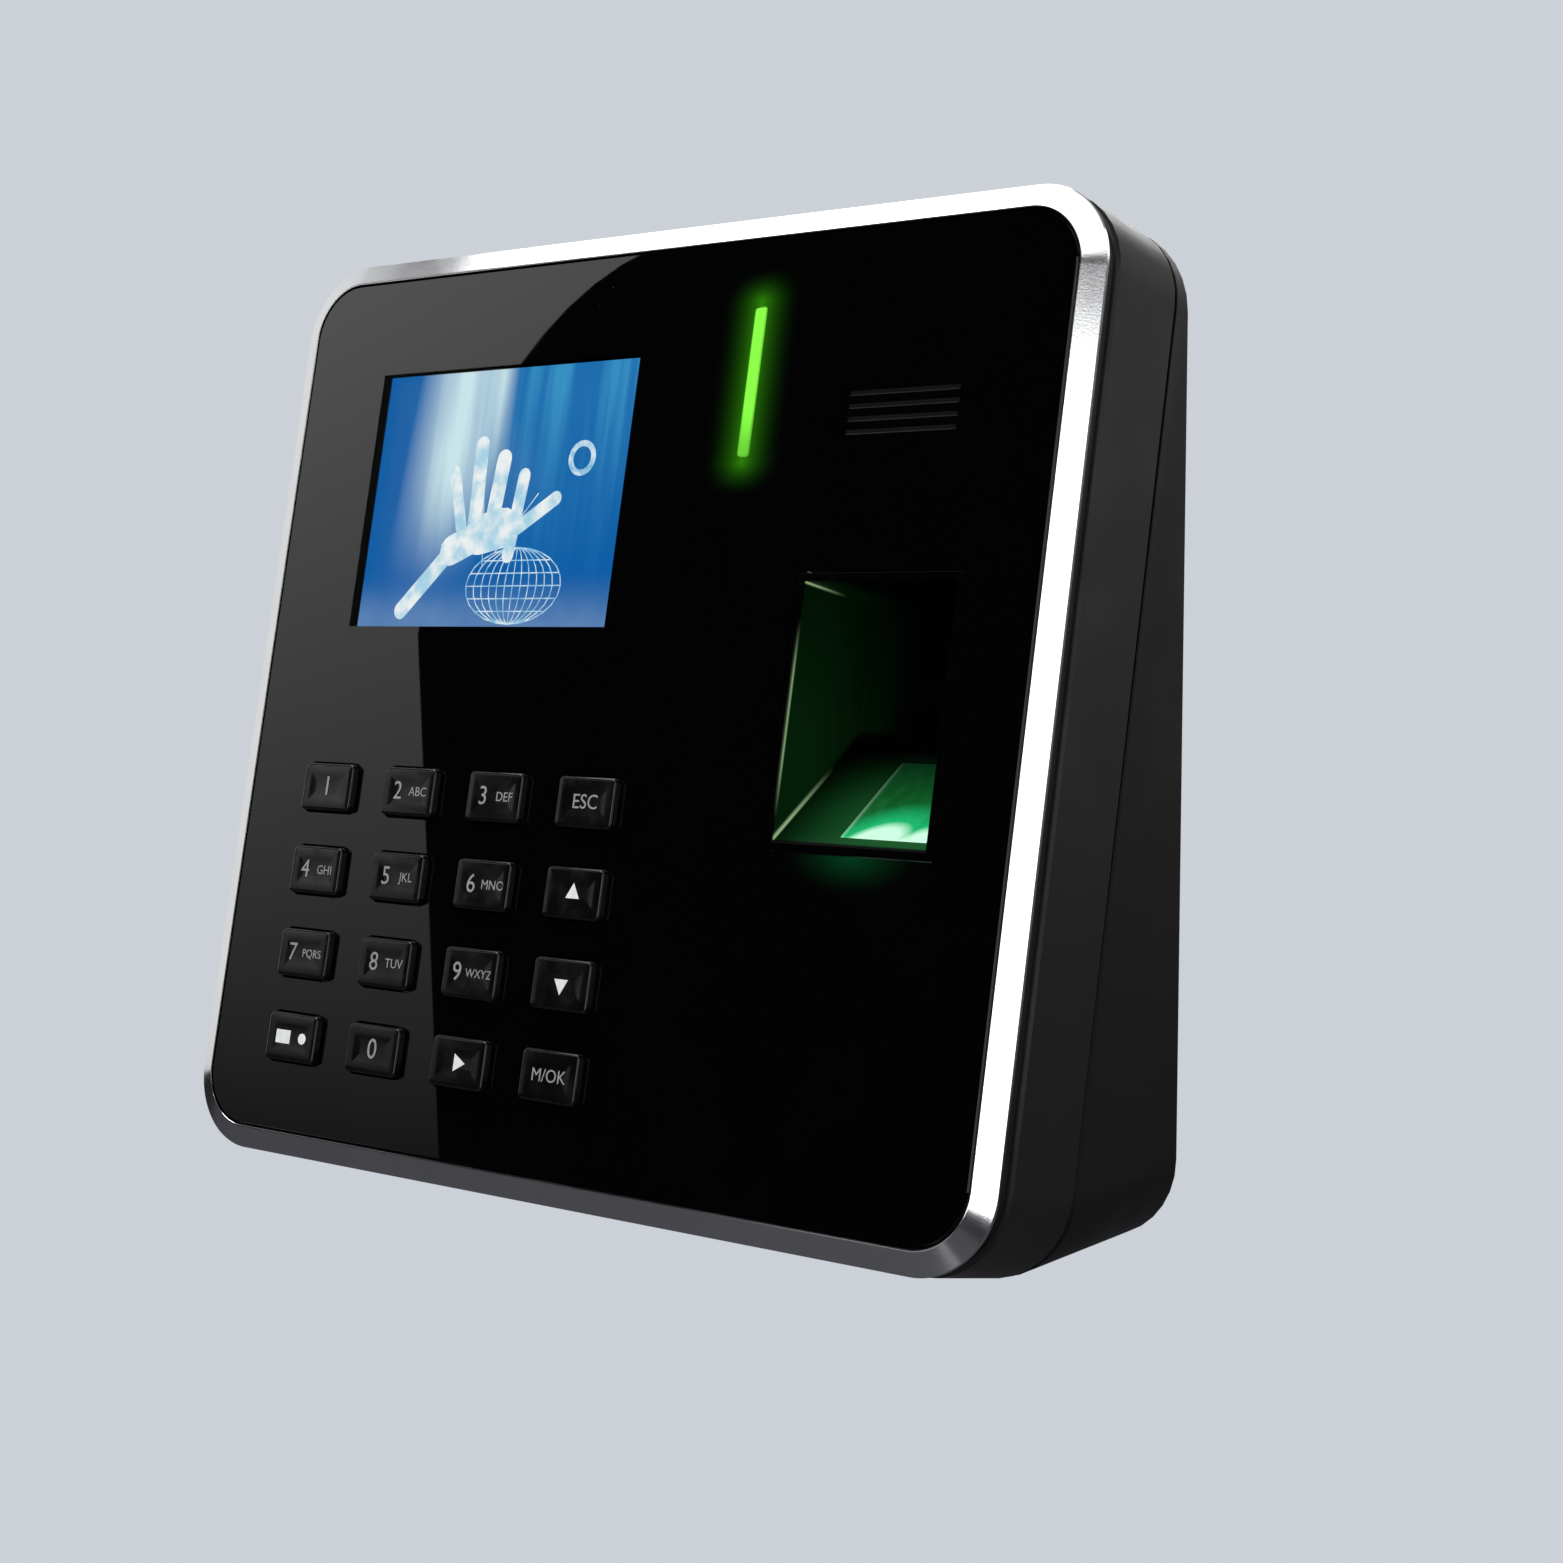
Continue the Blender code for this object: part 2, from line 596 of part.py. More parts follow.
def build_front_cover():
    """Moulded front shell: a plate behind the lens, a skirt, and posts for the screws."""
    section = ((GROOVE_DEPTH, LENS_THICKNESS + SEAT_GAP), (GROOVE_DEPTH, GROOVE_END - 0.0001),
               (SHELL_EDGE, GROOVE_END), (0.0, GROOVE_END + SHELL_EDGE),
               (0.0, CREASE_DEPTH - SHELL_EDGE), (SHELL_EDGE, CREASE_DEPTH))
    cover = finish("front_cover", loft_mesh([panel_ring(inset, depth) for inset, depth in section]),
                   DARK_ABS)

    cavity = finish("front_cavity", loft_mesh([panel_ring(FRONT_WALL, PLATE_BACK),
                                               panel_ring(FRONT_WALL, CREASE_DEPTH + OVERRUN)]))
    for index, (x, z) in enumerate(COVER_SCREWS):
        cut(cavity, f"front_post_{index}", rod_mesh(x, z, POST_RADIUS, PLATE_BACK - OVERRUN, CREASE_DEPTH))
    for index, (x, z) in enumerate(BOARD_SCREWS):
        cut(cavity, f"board_post_{index}", rod_mesh(x, z, BOARD_POST_RADIUS, PLATE_BACK - OVERRUN,
                                                    MAIN_BOARD_DEPTH - SEAT_GAP))
    boolean(cover, cavity)

    for index, (x, z) in enumerate(COVER_SCREWS):
        cut(cover, f"front_pilot_{index}", rod_mesh(x, z, SCREW_RADIUS + SCREW_CLEARANCE,
                                                    CREASE_DEPTH - COVER_SCREW_LENGTH,
                                                    CREASE_DEPTH + OVERRUN))
    for index, (x, z) in enumerate(BOARD_SCREWS):
        cut(cover, f"board_pilot_{index}", rod_mesh(x, z, SCREW_RADIUS + SCREW_CLEARANCE,
                                                    MAIN_BOARD_BACK - BOARD_SCREW_LENGTH
                                                    - BOARD_SCREW_SPARE,
                                                    MAIN_BOARD_DEPTH))
    plate_front = LENS_THICKNESS - OVERRUN
    plate_back = PLATE_BACK + 0.5 * OVERRUN
    open_front(cover, "cover", plate_front, plate_back)
    cut(cover, "cover_display_hole",
        slab_mesh(DISPLAY_X, DISPLAY_Z, DISPLAY_WIDTH + 2 * (LCD_BORDER + SEAT_GAP),
                  DISPLAY_HEIGHT + 2 * (LCD_BORDER + SEAT_GAP), plate_front, plate_back))
    cut(cover, "cover_usb_hole",
        box_mesh((USB_X - USB_WIDTH / 2 - SEAT_GAP, USB_FRONT - SEAT_GAP, -HALF_HOUSING_Z - OVERRUN),
                 (USB_X + USB_WIDTH / 2 + SEAT_GAP, USB_FRONT + USB_THICKNESS + SEAT_GAP,
                  -HALF_HOUSING_Z + FRONT_WALL + OVERRUN)))


# ---------------------------------------------------------------- rear cover and wall plate

SECURITY_X = BAY_X
SECURITY_Y = TAB_HOLE_INSET - TAB_REACH
PLATE_BOTTOM = BAY_FLOOR - PLATE_BELOW_BAY
PLATE_TOP = REAR_HALF_Z - PLATE_TOP_MARGIN
HOOK_Z = PLATE_TOP - HOOK_BELOW_TOP
RECESS_FLOOR_Y = -(PLATE_THICKNESS + SEAT_GAP)
RECESS_BACK_Y = RECESS_FLOOR_Y - RECESS_PAD

JACK_MOUTH = panel_height(BAY_CEILING, PART_SEAT) - JACK_REACH

# Each socket's place across, width, depth and length.
JACKS = {
    "ethernet_jack": (BAY_X - 0.0195, 0.0160, 0.0135, 0.0210),
    "power_jack": (BAY_X - 0.0015, 0.0090, 0.0110, 0.0140),
    "door_connector": (BAY_X + 0.0170, 0.0200, 0.0090, 0.0120),
}


def rear_section(share, inset):
    """Outline of the wedge at a share of the way from the crease to its rim."""
    front = [to_world(point) for point in panel_ring(inset, CREASE_DEPTH + SEAT_GAP)]
    back = [Vector(point) for point in rear_ring(inset, -WALL_GAP)]
    return [near.lerp(far, share) for near, far in zip(front, back)]


WALL_SCREWS = [(side * (PLATE_WIDTH / 2 - WALL_SLOT_SIDE_INSET), height)
               for height in (PLATE_TOP - WALL_SLOT_BELOW_TOP, PLATE_BOTTOM + WALL_SLOT_ABOVE_BOTTOM)
               for side in (-1, 1)]


def build_rear_cover():
    """Moulded wedge that closes the housing and hangs on the wall plate."""
    shell = loft_mesh([rear_section(0.0, SHELL_EDGE), rear_section(0.02, 0.0), rear_section(0.96, 0.0),
                       rear_section(1.0, RIM_EDGE)])
    cover = finish("rear_cover", shell, DARK_ABS, parent=None)

    start = [to_world(point) for point in panel_ring(REAR_WALL, CREASE_DEPTH - OVERRUN)]
    cavity = finish("rear_cavity", loft_mesh([start, rear_ring(REAR_WALL, REAR_INNER_Y)]), parent=None)
    pad = RECESS_SIDE + PLATE_FIT
    cut(cavity, "rear_pad",
        box_mesh((-PLATE_WIDTH / 2 - pad, RECESS_BACK_Y, PLATE_BOTTOM - pad),
                  (PLATE_WIDTH / 2 + pad, 0.0, PLATE_TOP + pad)), parent=None)
    for index, (x, z) in enumerate(COVER_SCREWS):
        cut(cavity, f"rear_column_{index}", rod_mesh(x, z, SCREW_HEAD_RADIUS + COLUMN_WALL,
                                                     CREASE_DEPTH + SEAT_GAP, CREASE_DEPTH + WELL_LENGTH))
    boolean(cover, cavity)

    lip_inset = FRONT_WALL + SEAT_GAP
    lip = [panel_ring(lip_inset, CREASE_DEPTH - LIP_HEIGHT),
           panel_ring(lip_inset + LIP_THICKNESS, CREASE_DEPTH - LIP_HEIGHT),
           panel_ring(lip_inset + LIP_THICKNESS, CREASE_DEPTH + LIP_ROOT),
           panel_ring(lip_inset, CREASE_DEPTH + LIP_ROOT)]
    join(cover, "rear_lip", loft_mesh(lip, closed=True))
    join(cover, "bay_tub",
         box_mesh((BAY_LEFT - BAY_WALL, BAY_FRONT - BAY_WALL, BAY_FLOOR - BAY_WALL),
                   (BAY_LEFT + BAY_WIDTH + BAY_WALL, -2 * WALL_GAP, BAY_CEILING + BAY_WALL)),
         parent=None)
    cut(cover, "bay_hollow",
        box_mesh((BAY_LEFT, BAY_FRONT, BAY_FLOOR), (BAY_LEFT + BAY_WIDTH, OVERRUN, BAY_CEILING)),
        parent=None)
    cut(cover, "plate_recess",
        box_mesh((-PLATE_WIDTH / 2 - PLATE_FIT, RECESS_FLOOR_Y, PLATE_BOTTOM - PLATE_FIT),
                  (PLATE_WIDTH / 2 + PLATE_FIT, OVERRUN, PLATE_TOP + PLATE_FIT),
                  PLATE_RADIUS), parent=None)
    for name, (x, width, depth, length) in JACKS.items():
        cut(cover, name + "_window",
            box_mesh((x - width / 2 - SEAT_GAP, PART_SEAT - SEAT_GAP, JACK_MOUTH - OVERRUN),
                     (x + width / 2 + SEAT_GAP, PART_SEAT + depth + SEAT_GAP, JACK_MOUTH + length / 2)))
    for side in (-1, 1):
        x = side * HOOK_SPREAD / 2
        slot_low = (x - HOOK_WIDTH / 2 - PLATE_FIT, RECESS_BACK_Y - OVERRUN,
                    HOOK_Z + PLATE_THICKNESS + SEAT_GAP - HOOK_HEIGHT - HOOK_SLOT_DROP)
        slot_high = (x + HOOK_WIDTH / 2 + PLATE_FIT, RECESS_FLOOR_Y + OVERRUN,
                     HOOK_Z + PLATE_THICKNESS + SEAT_GAP)
        cut(cover, f"hook_slot_{(side + 1) // 2}", box_mesh(slot_low, slot_high), parent=None)
    for index, (x, z) in enumerate(COVER_SCREWS):
        cut(cover, f"rear_well_{index}", rod_mesh(x, z, SCREW_HEAD_RADIUS + HEAD_WELL_GAP,
                                                  CREASE_DEPTH + HEAD_SEAT_DEPTH,
                                                  CREASE_DEPTH + WELL_LENGTH))
        cut(cover, f"rear_hole_{index}", rod_mesh(x, z, SCREW_RADIUS + SCREW_CLEARANCE,
                                                  CREASE_DEPTH - LIP_HEIGHT - OVERRUN,
                                                  CREASE_DEPTH + HEAD_SEAT_DEPTH + OVERRUN))
    for index, (x, z) in enumerate(WALL_SCREWS):
        relief = bmesh.new()
        bmesh.ops.create_cone(relief, cap_ends=True, segments=ROUND_STEPS, radius1=HEAD_RELIEF_RADIUS,
                              radius2=HEAD_RELIEF_RADIUS, depth=2 * HEAD_RELIEF_DEPTH,
                              matrix=Matrix.Translation((x, RECESS_FLOOR_Y, z))
                              @ Matrix.Rotation(math.radians(90), 4, "X"))
        cut(cover, f"head_relief_{index}", relief, parent=None)
    cut(cover, "tamper_hole", rod_mesh(TAMPER_X, TAMPER_Z, TAMPER_RADIUS + SCREW_CLEARANCE,
                                       CREASE_DEPTH + 0.004, CREASE_DEPTH + 0.020))
    cut(cover, "security_head_well",
        upright_rod(SECURITY_X, SECURITY_Y, SCREW_HEAD_RADIUS + HEAD_WELL_GAP, -REAR_HALF_Z - OVERRUN,
                    -REAR_HALF_Z + SCREW_HEAD_HEIGHT + LOCK_SCREW_SINK + SEAT_GAP), parent=None)
    cut(cover, "security_hole",
        upright_rod(SECURITY_X, SECURITY_Y, SCREW_RADIUS + SCREW_CLEARANCE, -REAR_HALF_Z,
                    BAY_FLOOR + OVERRUN), parent=None)


def build_wall_plate():
    """Pressed steel plate screwed to the wall: two hooks, a cable window and a locking tab."""
    low = (-PLATE_WIDTH / 2, -PLATE_THICKNESS, PLATE_BOTTOM)
    high = (PLATE_WIDTH / 2, 0.0, PLATE_TOP)
    plate = finish("wall_plate", box_mesh(low, high, PLATE_RADIUS), STEEL, parent=None)
    bend = -PLATE_THICKNESS + 0.0005
    for side in (-1, 1):
        x = side * HOOK_SPREAD / 2
        lip_back = RECESS_BACK_Y - 0.0006
        section = ((bend, HOOK_Z), (lip_back - PLATE_THICKNESS, HOOK_Z),
                   (lip_back - PLATE_THICKNESS, HOOK_Z + HOOK_HEIGHT), (lip_back, HOOK_Z + HOOK_HEIGHT),
                   (lip_back, HOOK_Z + PLATE_THICKNESS), (bend, HOOK_Z + PLATE_THICKNESS))
        join(plate, f"plate_hook_{(side + 1) // 2}",
             profile_prism(section, x - HOOK_WIDTH / 2, x + HOOK_WIDTH / 2), parent=None)
    tab_low = BAY_FLOOR + TAB_RISE
    join(plate, "plate_tab",
         box_mesh((SECURITY_X - TAB_WIDTH / 2, -TAB_REACH, tab_low),
                   (SECURITY_X + TAB_WIDTH / 2, bend, tab_low + PLATE_THICKNESS)), parent=None)
    cut(plate, "tab_hole",
        upright_rod(SECURITY_X, SECURITY_Y, SCREW_RADIUS + SCREW_CLEARANCE, tab_low - OVERRUN,
                    tab_low + PLATE_THICKNESS + OVERRUN), parent=None)
    cut(plate, "cable_window",
        box_mesh((BAY_LEFT + WINDOW_SIDE_MARGIN, -PLATE_THICKNESS - OVERRUN,
                   tab_low + PLATE_THICKNESS + WINDOW_ABOVE_TAB),
                  (BAY_LEFT + BAY_WIDTH - WINDOW_SIDE_MARGIN, OVERRUN, BAY_CEILING - WINDOW_BELOW_CEILING),
                  WINDOW_CORNER), parent=None)
    for index, (x, z) in enumerate(WALL_SCREWS):
        cut(plate, f"wall_screw_hole_{index}",
            box_mesh((x - WALL_SLOT_WIDTH / 2, -PLATE_THICKNESS - OVERRUN, z - WALL_SLOT_HEIGHT / 2),
                     (x + WALL_SLOT_WIDTH / 2, OVERRUN, z + WALL_SLOT_HEIGHT / 2),
                     WALL_SLOT_WIDTH * 0.48), parent=None)


# ---------------------------------------------------------------- keypad

KEY_NAMES = (("1", "2", "3", "cancel"), ("4", "5", "6", "up"), ("7", "8", "9", "down"),
             ("menu", "0", "right", "ok"))


def build_keypad():
    """Sixteen hard keycaps over a silicone dome mat and its contact board."""
    for row in range(KEY_ROWS):
        for column in range(KEY_COLUMNS):
            x, z = key_place(row, column)
            cap = (KEY_WIDTH, KEY_HEIGHT, KEY_RADIUS)
            flange = (KEY_WIDTH + 2 * KEY_FLANGE, KEY_HEIGHT + 2 * KEY_FLANGE, KEY_RADIUS)
            key = finish("key_" + KEY_NAMES[row][column], stepped_mesh(0.0, 0.0, (
                (KEY_WIDTH - 2 * KEY_EDGE, KEY_HEIGHT - 2 * KEY_EDGE, KEY_RADIUS - KEY_EDGE, -KEY_PROUD),
                (*cap, KEY_EDGE - KEY_PROUD), (*cap, FLANGE_FRONT), (*flange, FLANGE_FRONT + HAIR),
                (*flange, FLANGE_BACK))), KEY_BLACK)
            key.location = (x, 0.0, z)

    left, top = key_place(0, 0)
    right, bottom = key_place(KEY_ROWS - 1, KEY_COLUMNS - 1)
    centre_x = (left + right) / 2
    centre_z = (top + bottom) / 2
    mat_width = right - left + KEY_WIDTH + 2 * MAT_BORDER_X
    mat_height = top - bottom + KEY_HEIGHT + 2 * MAT_BORDER_Z
    mat = finish("keypad_mat", slab_mesh(centre_x, centre_z, mat_width, mat_height,
                                         MAT_FRONT, MAT_BACK, 0.002), SILICONE)
    for row in range(KEY_ROWS):
        for column in range(KEY_COLUMNS):
            x, z = key_place(row, column)
            join(mat, f"dome_{row}_{column}",
                 rod_mesh(x, z, DOME_WIDTH / 2, DOME_FRONT, MAT_FRONT + MAT_SHEET / 2, SCREW_STEPS,
                          DOME_WIDTH / 2 - DOME_TAPER))
    finish("keypad_board", slab_mesh(centre_x, centre_z, mat_width, mat_height, KEYBOARD_FRONT,
                                     KEYBOARD_BACK, 0.001), BOARD_GREEN)


# ---------------------------------------------------------------- display, light and speaker


def build_display():
    """Liquid crystal panel in front of its backlight tray, with a flat flex to the board."""
    width = DISPLAY_WIDTH + 2 * LCD_BORDER
    height = DISPLAY_HEIGHT + 2 * LCD_BORDER
    front = LENS_THICKNESS + SEAT_GAP
    finish("lcd_glass", slab_mesh(DISPLAY_X, DISPLAY_Z, width, height, front,
                                  front + LCD_GLASS_THICKNESS, LCD_CORNER), SCREEN)
    tray_front = PLATE_BACK + SEAT_GAP
    tray_back = tray_front + LCD_GLASS_THICKNESS + LCD_FRAME_FLOOR
    tray = finish("lcd_frame", slab_mesh(DISPLAY_X, DISPLAY_Z, width + 2 * LCD_FRAME_WALL,
                                         height + 2 * LCD_FRAME_WALL, tray_front, tray_back, 0.001), TRAY)
    cut(tray, "tray_hollow", slab_mesh(DISPLAY_X, DISPLAY_Z, width, height, tray_front - OVERRUN,
                                       tray_back - LCD_FRAME_FLOOR, LCD_CORNER))
    start = tray_back + SEAT_GAP
    end = MAIN_BOARD_DEPTH - SEAT_GAP - FLEX_THICKNESS
    low = DISPLAY_Z - height / 2
    path = ((start, low + 0.014), (start, low + 0.004), (end, low - 0.002), (end, low - 0.008))
    outline = list(path) + [(depth + FLEX_THICKNESS, z) for depth, z in reversed(path)]
    finish("lcd_flex", profile_prism(outline, DISPLAY_X - FLEX_WIDTH / 2, DISPLAY_X + FLEX_WIDTH / 2),
           FLEX_AMBER)


def build_light_and_speaker():
    """Status light bar with its lamp, and the small round speaker behind the slots."""
    front = PLATE_BACK + SEAT_GAP
    guide_back = MAIN_BOARD_DEPTH - LED_THICKNESS - 2 * SEAT_GAP
    bar = (LIGHT_WIDTH, LIGHT_HEIGHT, LIGHT_CORNER)
    flange = (LIGHT_WIDTH + 2 * LIGHT_FLANGE, LIGHT_HEIGHT + 2 * LIGHT_FLANGE, LIGHT_CORNER)
    finish("light_guide", stepped_mesh(LIGHT_X, LIGHT_Z, (
        (*bar, 0.0), (*bar, front), (*flange, front + HAIR), (*flange, front + LIGHT_FLANGE),
        (LIGHT_WIDTH, LED_HEIGHT + LIGHT_FLANGE, LIGHT_CORNER, guide_back))), CLEAR_GREEN)
    finish("indicator_led", slab_mesh(LIGHT_X, LIGHT_Z, LED_WIDTH, LED_HEIGHT, guide_back + SEAT_GAP,
                                      MAIN_BOARD_DEPTH - SEAT_GAP, LIGHT_CORNER), CLEAR_GREEN)
    back = front + SPEAKER_DEPTH
    rim = SPEAKER_RADIUS
    cone = front + SPEAKER_CONE_DEPTH
    magnet = rim * SPEAKER_MAGNET_SHARE
    profile = ((0.0, cone), (rim * 0.35, cone), (rim * 0.90, front + SEAT_GAP), (rim * 0.92, front),
               (rim, front), (rim, cone), (magnet, back - SPEAKER_CONE_DEPTH), (magnet, back), (0.0, back))
    finish("speaker", turned_mesh(SPEAKER_X, SPEAKER_Z, profile), CHIP, smooth=True)


# ---------------------------------------------------------------- finger pocket and scanner


def ramp_box(x, width, along_low, along_high, below, above):
    """A box lying on the pocket's 45 degree floor; along counts up the floor from the rim."""
    made = box_mesh((-width / 2, along_low, -below), (width / 2, along_high, above))
    place = Matrix.Translation((x, 0.0, POCKET_BOTTOM)) @ Matrix.Rotation(math.radians(45), 4, "X")
    bmesh.ops.transform(made, matrix=place, verts=made.verts)
    return made


def build_scanner():
    """Finger pocket, the glass prism in its floor, and the camera that reads it from below."""
    wall = POCKET_WALL
    bottom = POCKET_BOTTOM
    outer = ((0.0, bottom - wall), (wall * (math.sqrt(2) - 1), bottom - wall),
             (POCKET_DEPTH + wall, bottom + POCKET_DEPTH + wall * (1 - math.sqrt(2))),
             (POCKET_DEPTH + wall, POCKET_TOP + wall), (0.0, POCKET_TOP + wall))
    left = POCKET_X - POCKET_WIDTH / 2
    right = POCKET_X + POCKET_WIDTH / 2
    guide = finish("finger_guide", profile_prism(outer, left - wall, right + wall), SCANNER_BLACK)
    inner = ((-OVERRUN, bottom - OVERRUN), (POCKET_DEPTH, bottom + POCKET_DEPTH),
             (POCKET_DEPTH, POCKET_TOP), (-OVERRUN, POCKET_TOP))
    cut(guide, "pocket_hollow", profile_prism(inner, left, right))
    flange = PLATE_BACK + SEAT_GAP
    join(guide, "guide_ears",
         slab_mesh(POCKET_X, POCKET_TOP + wall + GUIDE_EAR_HEIGHT * 0.45, POCKET_WIDTH,
                   GUIDE_EAR_HEIGHT, flange, flange + GUIDE_EAR_THICKNESS, GUIDE_EAR_HEIGHT / 4))

    gap = SEAT_GAP
    start = PLATEN_START
    end = PLATEN_START + PLATEN_LENGTH
    cut(guide, "platen_window",
        ramp_box(PLATEN_X, PLATEN_WIDTH + 2 * gap, start - gap, end + gap, PLATEN_THICKNESS + gap,
                 2 * OVERRUN))
    finish("platen_prism", ramp_box(PLATEN_X, PLATEN_WIDTH, start, end, PLATEN_THICKNESS, -PLATEN_SINK),
           PRISM_GLASS)

    line = bottom - wall * math.sqrt(2) - gap * math.sqrt(2)
    front = PLATE_BACK + SCANNER_STAND_OFF
    top_depth = POCKET_DEPTH + wall + gap
    low = -SCANNER_DROP
    body = ((front, low), (front, line + front), (top_depth, line + top_depth),
            (SCANNER_DEPTH, line + top_depth), (SCANNER_DEPTH, low))
    half = POCKET_WIDTH / 2 + wall
    housing = finish("scanner_housing", profile_prism(body, POCKET_X - half, POCKET_X + half),
                     SCANNER_BLACK)
    thick = SCANNER_WALL
    open_top = line + SCANNER_OPEN_TOP
    open_back = SCANNER_DEPTH + OVERRUN
    hollow = ((front + thick, low + thick), (front + thick, open_top + front),
              (top_depth, open_top + top_depth), (top_depth, line + top_depth - thick),
              (open_back, line + top_depth - thick), (open_back, low + thick))
    cut(housing, "scanner_hollow", profile_prism(hollow, POCKET_X - half + thick, POCKET_X + half - thick))
    cut(housing, "scanner_platen_clearance",
        ramp_box(PLATEN_X, PLATEN_WIDTH + 2 * gap, start - gap, end + gap, PLATEN_THICKNESS + gap,
                 2 * OVERRUN))

    board_z = (low + line + top_depth) / 2
    board_front = SCANNER_DEPTH + gap
    finish("scanner_board", slab_mesh(POCKET_X, board_z, 2 * half, line + top_depth - low, board_front,
                                      board_front + BOARD_THICKNESS, 0.0005), BOARD_GREEN)
    camera_z = low + CAMERA_RISE
    camera_back = board_front - gap
    camera_front = camera_back - CAMERA_BODY
    barrel = CAMERA_SIZE * 0.36
    barrel_tip = camera_front - CAMERA_BARREL
    barrel_glass = camera_front - CAMERA_BARREL * 0.8
    camera = finish("scanner_camera", slab_mesh(POCKET_X, camera_z, CAMERA_SIZE, CAMERA_SIZE,
                                                camera_front, camera_back, 0.0005), CHIP)
    join(camera, "camera_barrel", turned_mesh(POCKET_X, camera_z, (
        (0.0, barrel_glass), (barrel * 0.6, barrel_glass), (barrel * 0.75, barrel_tip),
        (barrel, barrel_tip), (barrel, camera_front + 0.5 * OVERRUN), (0.0, camera_front + 0.5 * OVERRUN))))


# ---------------------------------------------------------------- main board and what it carries


def build_main_board():
    """Main circuit board on four posts, with the chips, cell, switch and connectors."""
    centre_x = (BOARD_LEFT + BOARD_RIGHT) / 2
    centre_z = (BOARD_TOP + BOARD_BOTTOM) / 2
    board = finish("main_board", slab_mesh(centre_x, centre_z, BOARD_RIGHT - BOARD_LEFT,
                                           BOARD_TOP - BOARD_BOTTOM, MAIN_BOARD_DEPTH, MAIN_BOARD_BACK,
                                           0.001), BOARD_GREEN)
    for index, (x, z) in enumerate(BOARD_SCREWS):
        cut(board, f"board_hole_{index}", rod_mesh(x, z, SCREW_RADIUS + SCREW_CLEARANCE,
                                                   MAIN_BOARD_DEPTH - OVERRUN, MAIN_BOARD_BACK + OVERRUN))
    seat = PART_SEAT
    package = (PROCESSOR_SIZE, PROCESSOR_SIZE, CHIP_EDGE)
    package_top = (PROCESSOR_SIZE - 2 * CHIP_EDGE, PROCESSOR_SIZE - 2 * CHIP_EDGE, CHIP_EDGE)
    finish("processor", stepped_mesh(BOARD_LEFT + PROCESSOR_RIGHT, BOARD_TOP - PROCESSOR_DROP, (
        (*package, seat), (*package, seat + PROCESSOR_THICKNESS - CHIP_EDGE),
        (*package_top, seat + PROCESSOR_THICKNESS))), CHIP)

    cell_x = BOARD_LEFT + CELL_RIGHT
    cell_z = BOARD_BOTTOM + CELL_RISE
    rim = CELL_RADIUS + HOLDER_FIT
    outer_rim = rim + HOLDER_WALL
    floor = seat + HOLDER_FLOOR
    holder_top = seat + HOLDER_HEIGHT
    finish("coin_cell_holder", turned_mesh(cell_x, cell_z, (
        (0.0, floor), (rim, floor), (rim, holder_top), (outer_rim, holder_top), (outer_rim, seat),
        (0.0, seat))), CONNECTOR, smooth=True)
    cell = floor + SEAT_GAP
    cell_top = cell + CELL_THICKNESS
    finish("coin_cell", turned_mesh(cell_x, cell_z, (
        (0.0, cell), (CELL_RADIUS - CHIP_EDGE, cell), (CELL_RADIUS, cell + CHIP_EDGE),
        (CELL_RADIUS, cell_top - CHIP_EDGE), (CELL_RADIUS - CHIP_EDGE, cell_top), (0.0, cell_top))),
        STEEL, smooth=True)

    switch_top = seat + SWITCH_HEIGHT
    bore_floor = switch_top - SWITCH_BORE_DEPTH
    switch = finish("tamper_switch", slab_mesh(TAMPER_X, TAMPER_Z, SWITCH_SIZE, SWITCH_SIZE, seat,
                                               switch_top, CHIP_EDGE), CONNECTOR)
    cut(switch, "switch_bore", rod_mesh(TAMPER_X, TAMPER_Z, TAMPER_RADIUS + SCREW_CLEARANCE, bore_floor,
                                        switch_top + OVERRUN))
    plate_face = (-PLATE_THICKNESS - SEAT_GAP - FACE_CENTRE.y - TAMPER_Z * SIN_TILT) / COS_TILT
    tip = bore_floor + TAMPER_TRAVEL + PLUNGER_EDGE
    end = plate_face - TAMPER_RADIUS * SIN_TILT
    collar = COLLAR_DEPTH - COLLAR_SIZE
    collar_radius = TAMPER_RADIUS + COLLAR_SIZE
    plunger = finish("tamper_plunger", turned_mesh(0.0, 0.0, (
        (0.0, tip), (TAMPER_RADIUS, tip), (TAMPER_RADIUS, collar), (collar_radius, collar),
        (collar_radius, COLLAR_DEPTH), (TAMPER_RADIUS, COLLAR_DEPTH), (TAMPER_RADIUS, end - PLUNGER_EDGE),
        (TAMPER_RADIUS - PLUNGER_EDGE, end), (0.0, end))), CONNECTOR, smooth=True)
    plunger.location = (TAMPER_X, 0.0, TAMPER_Z)

    build_connectors()


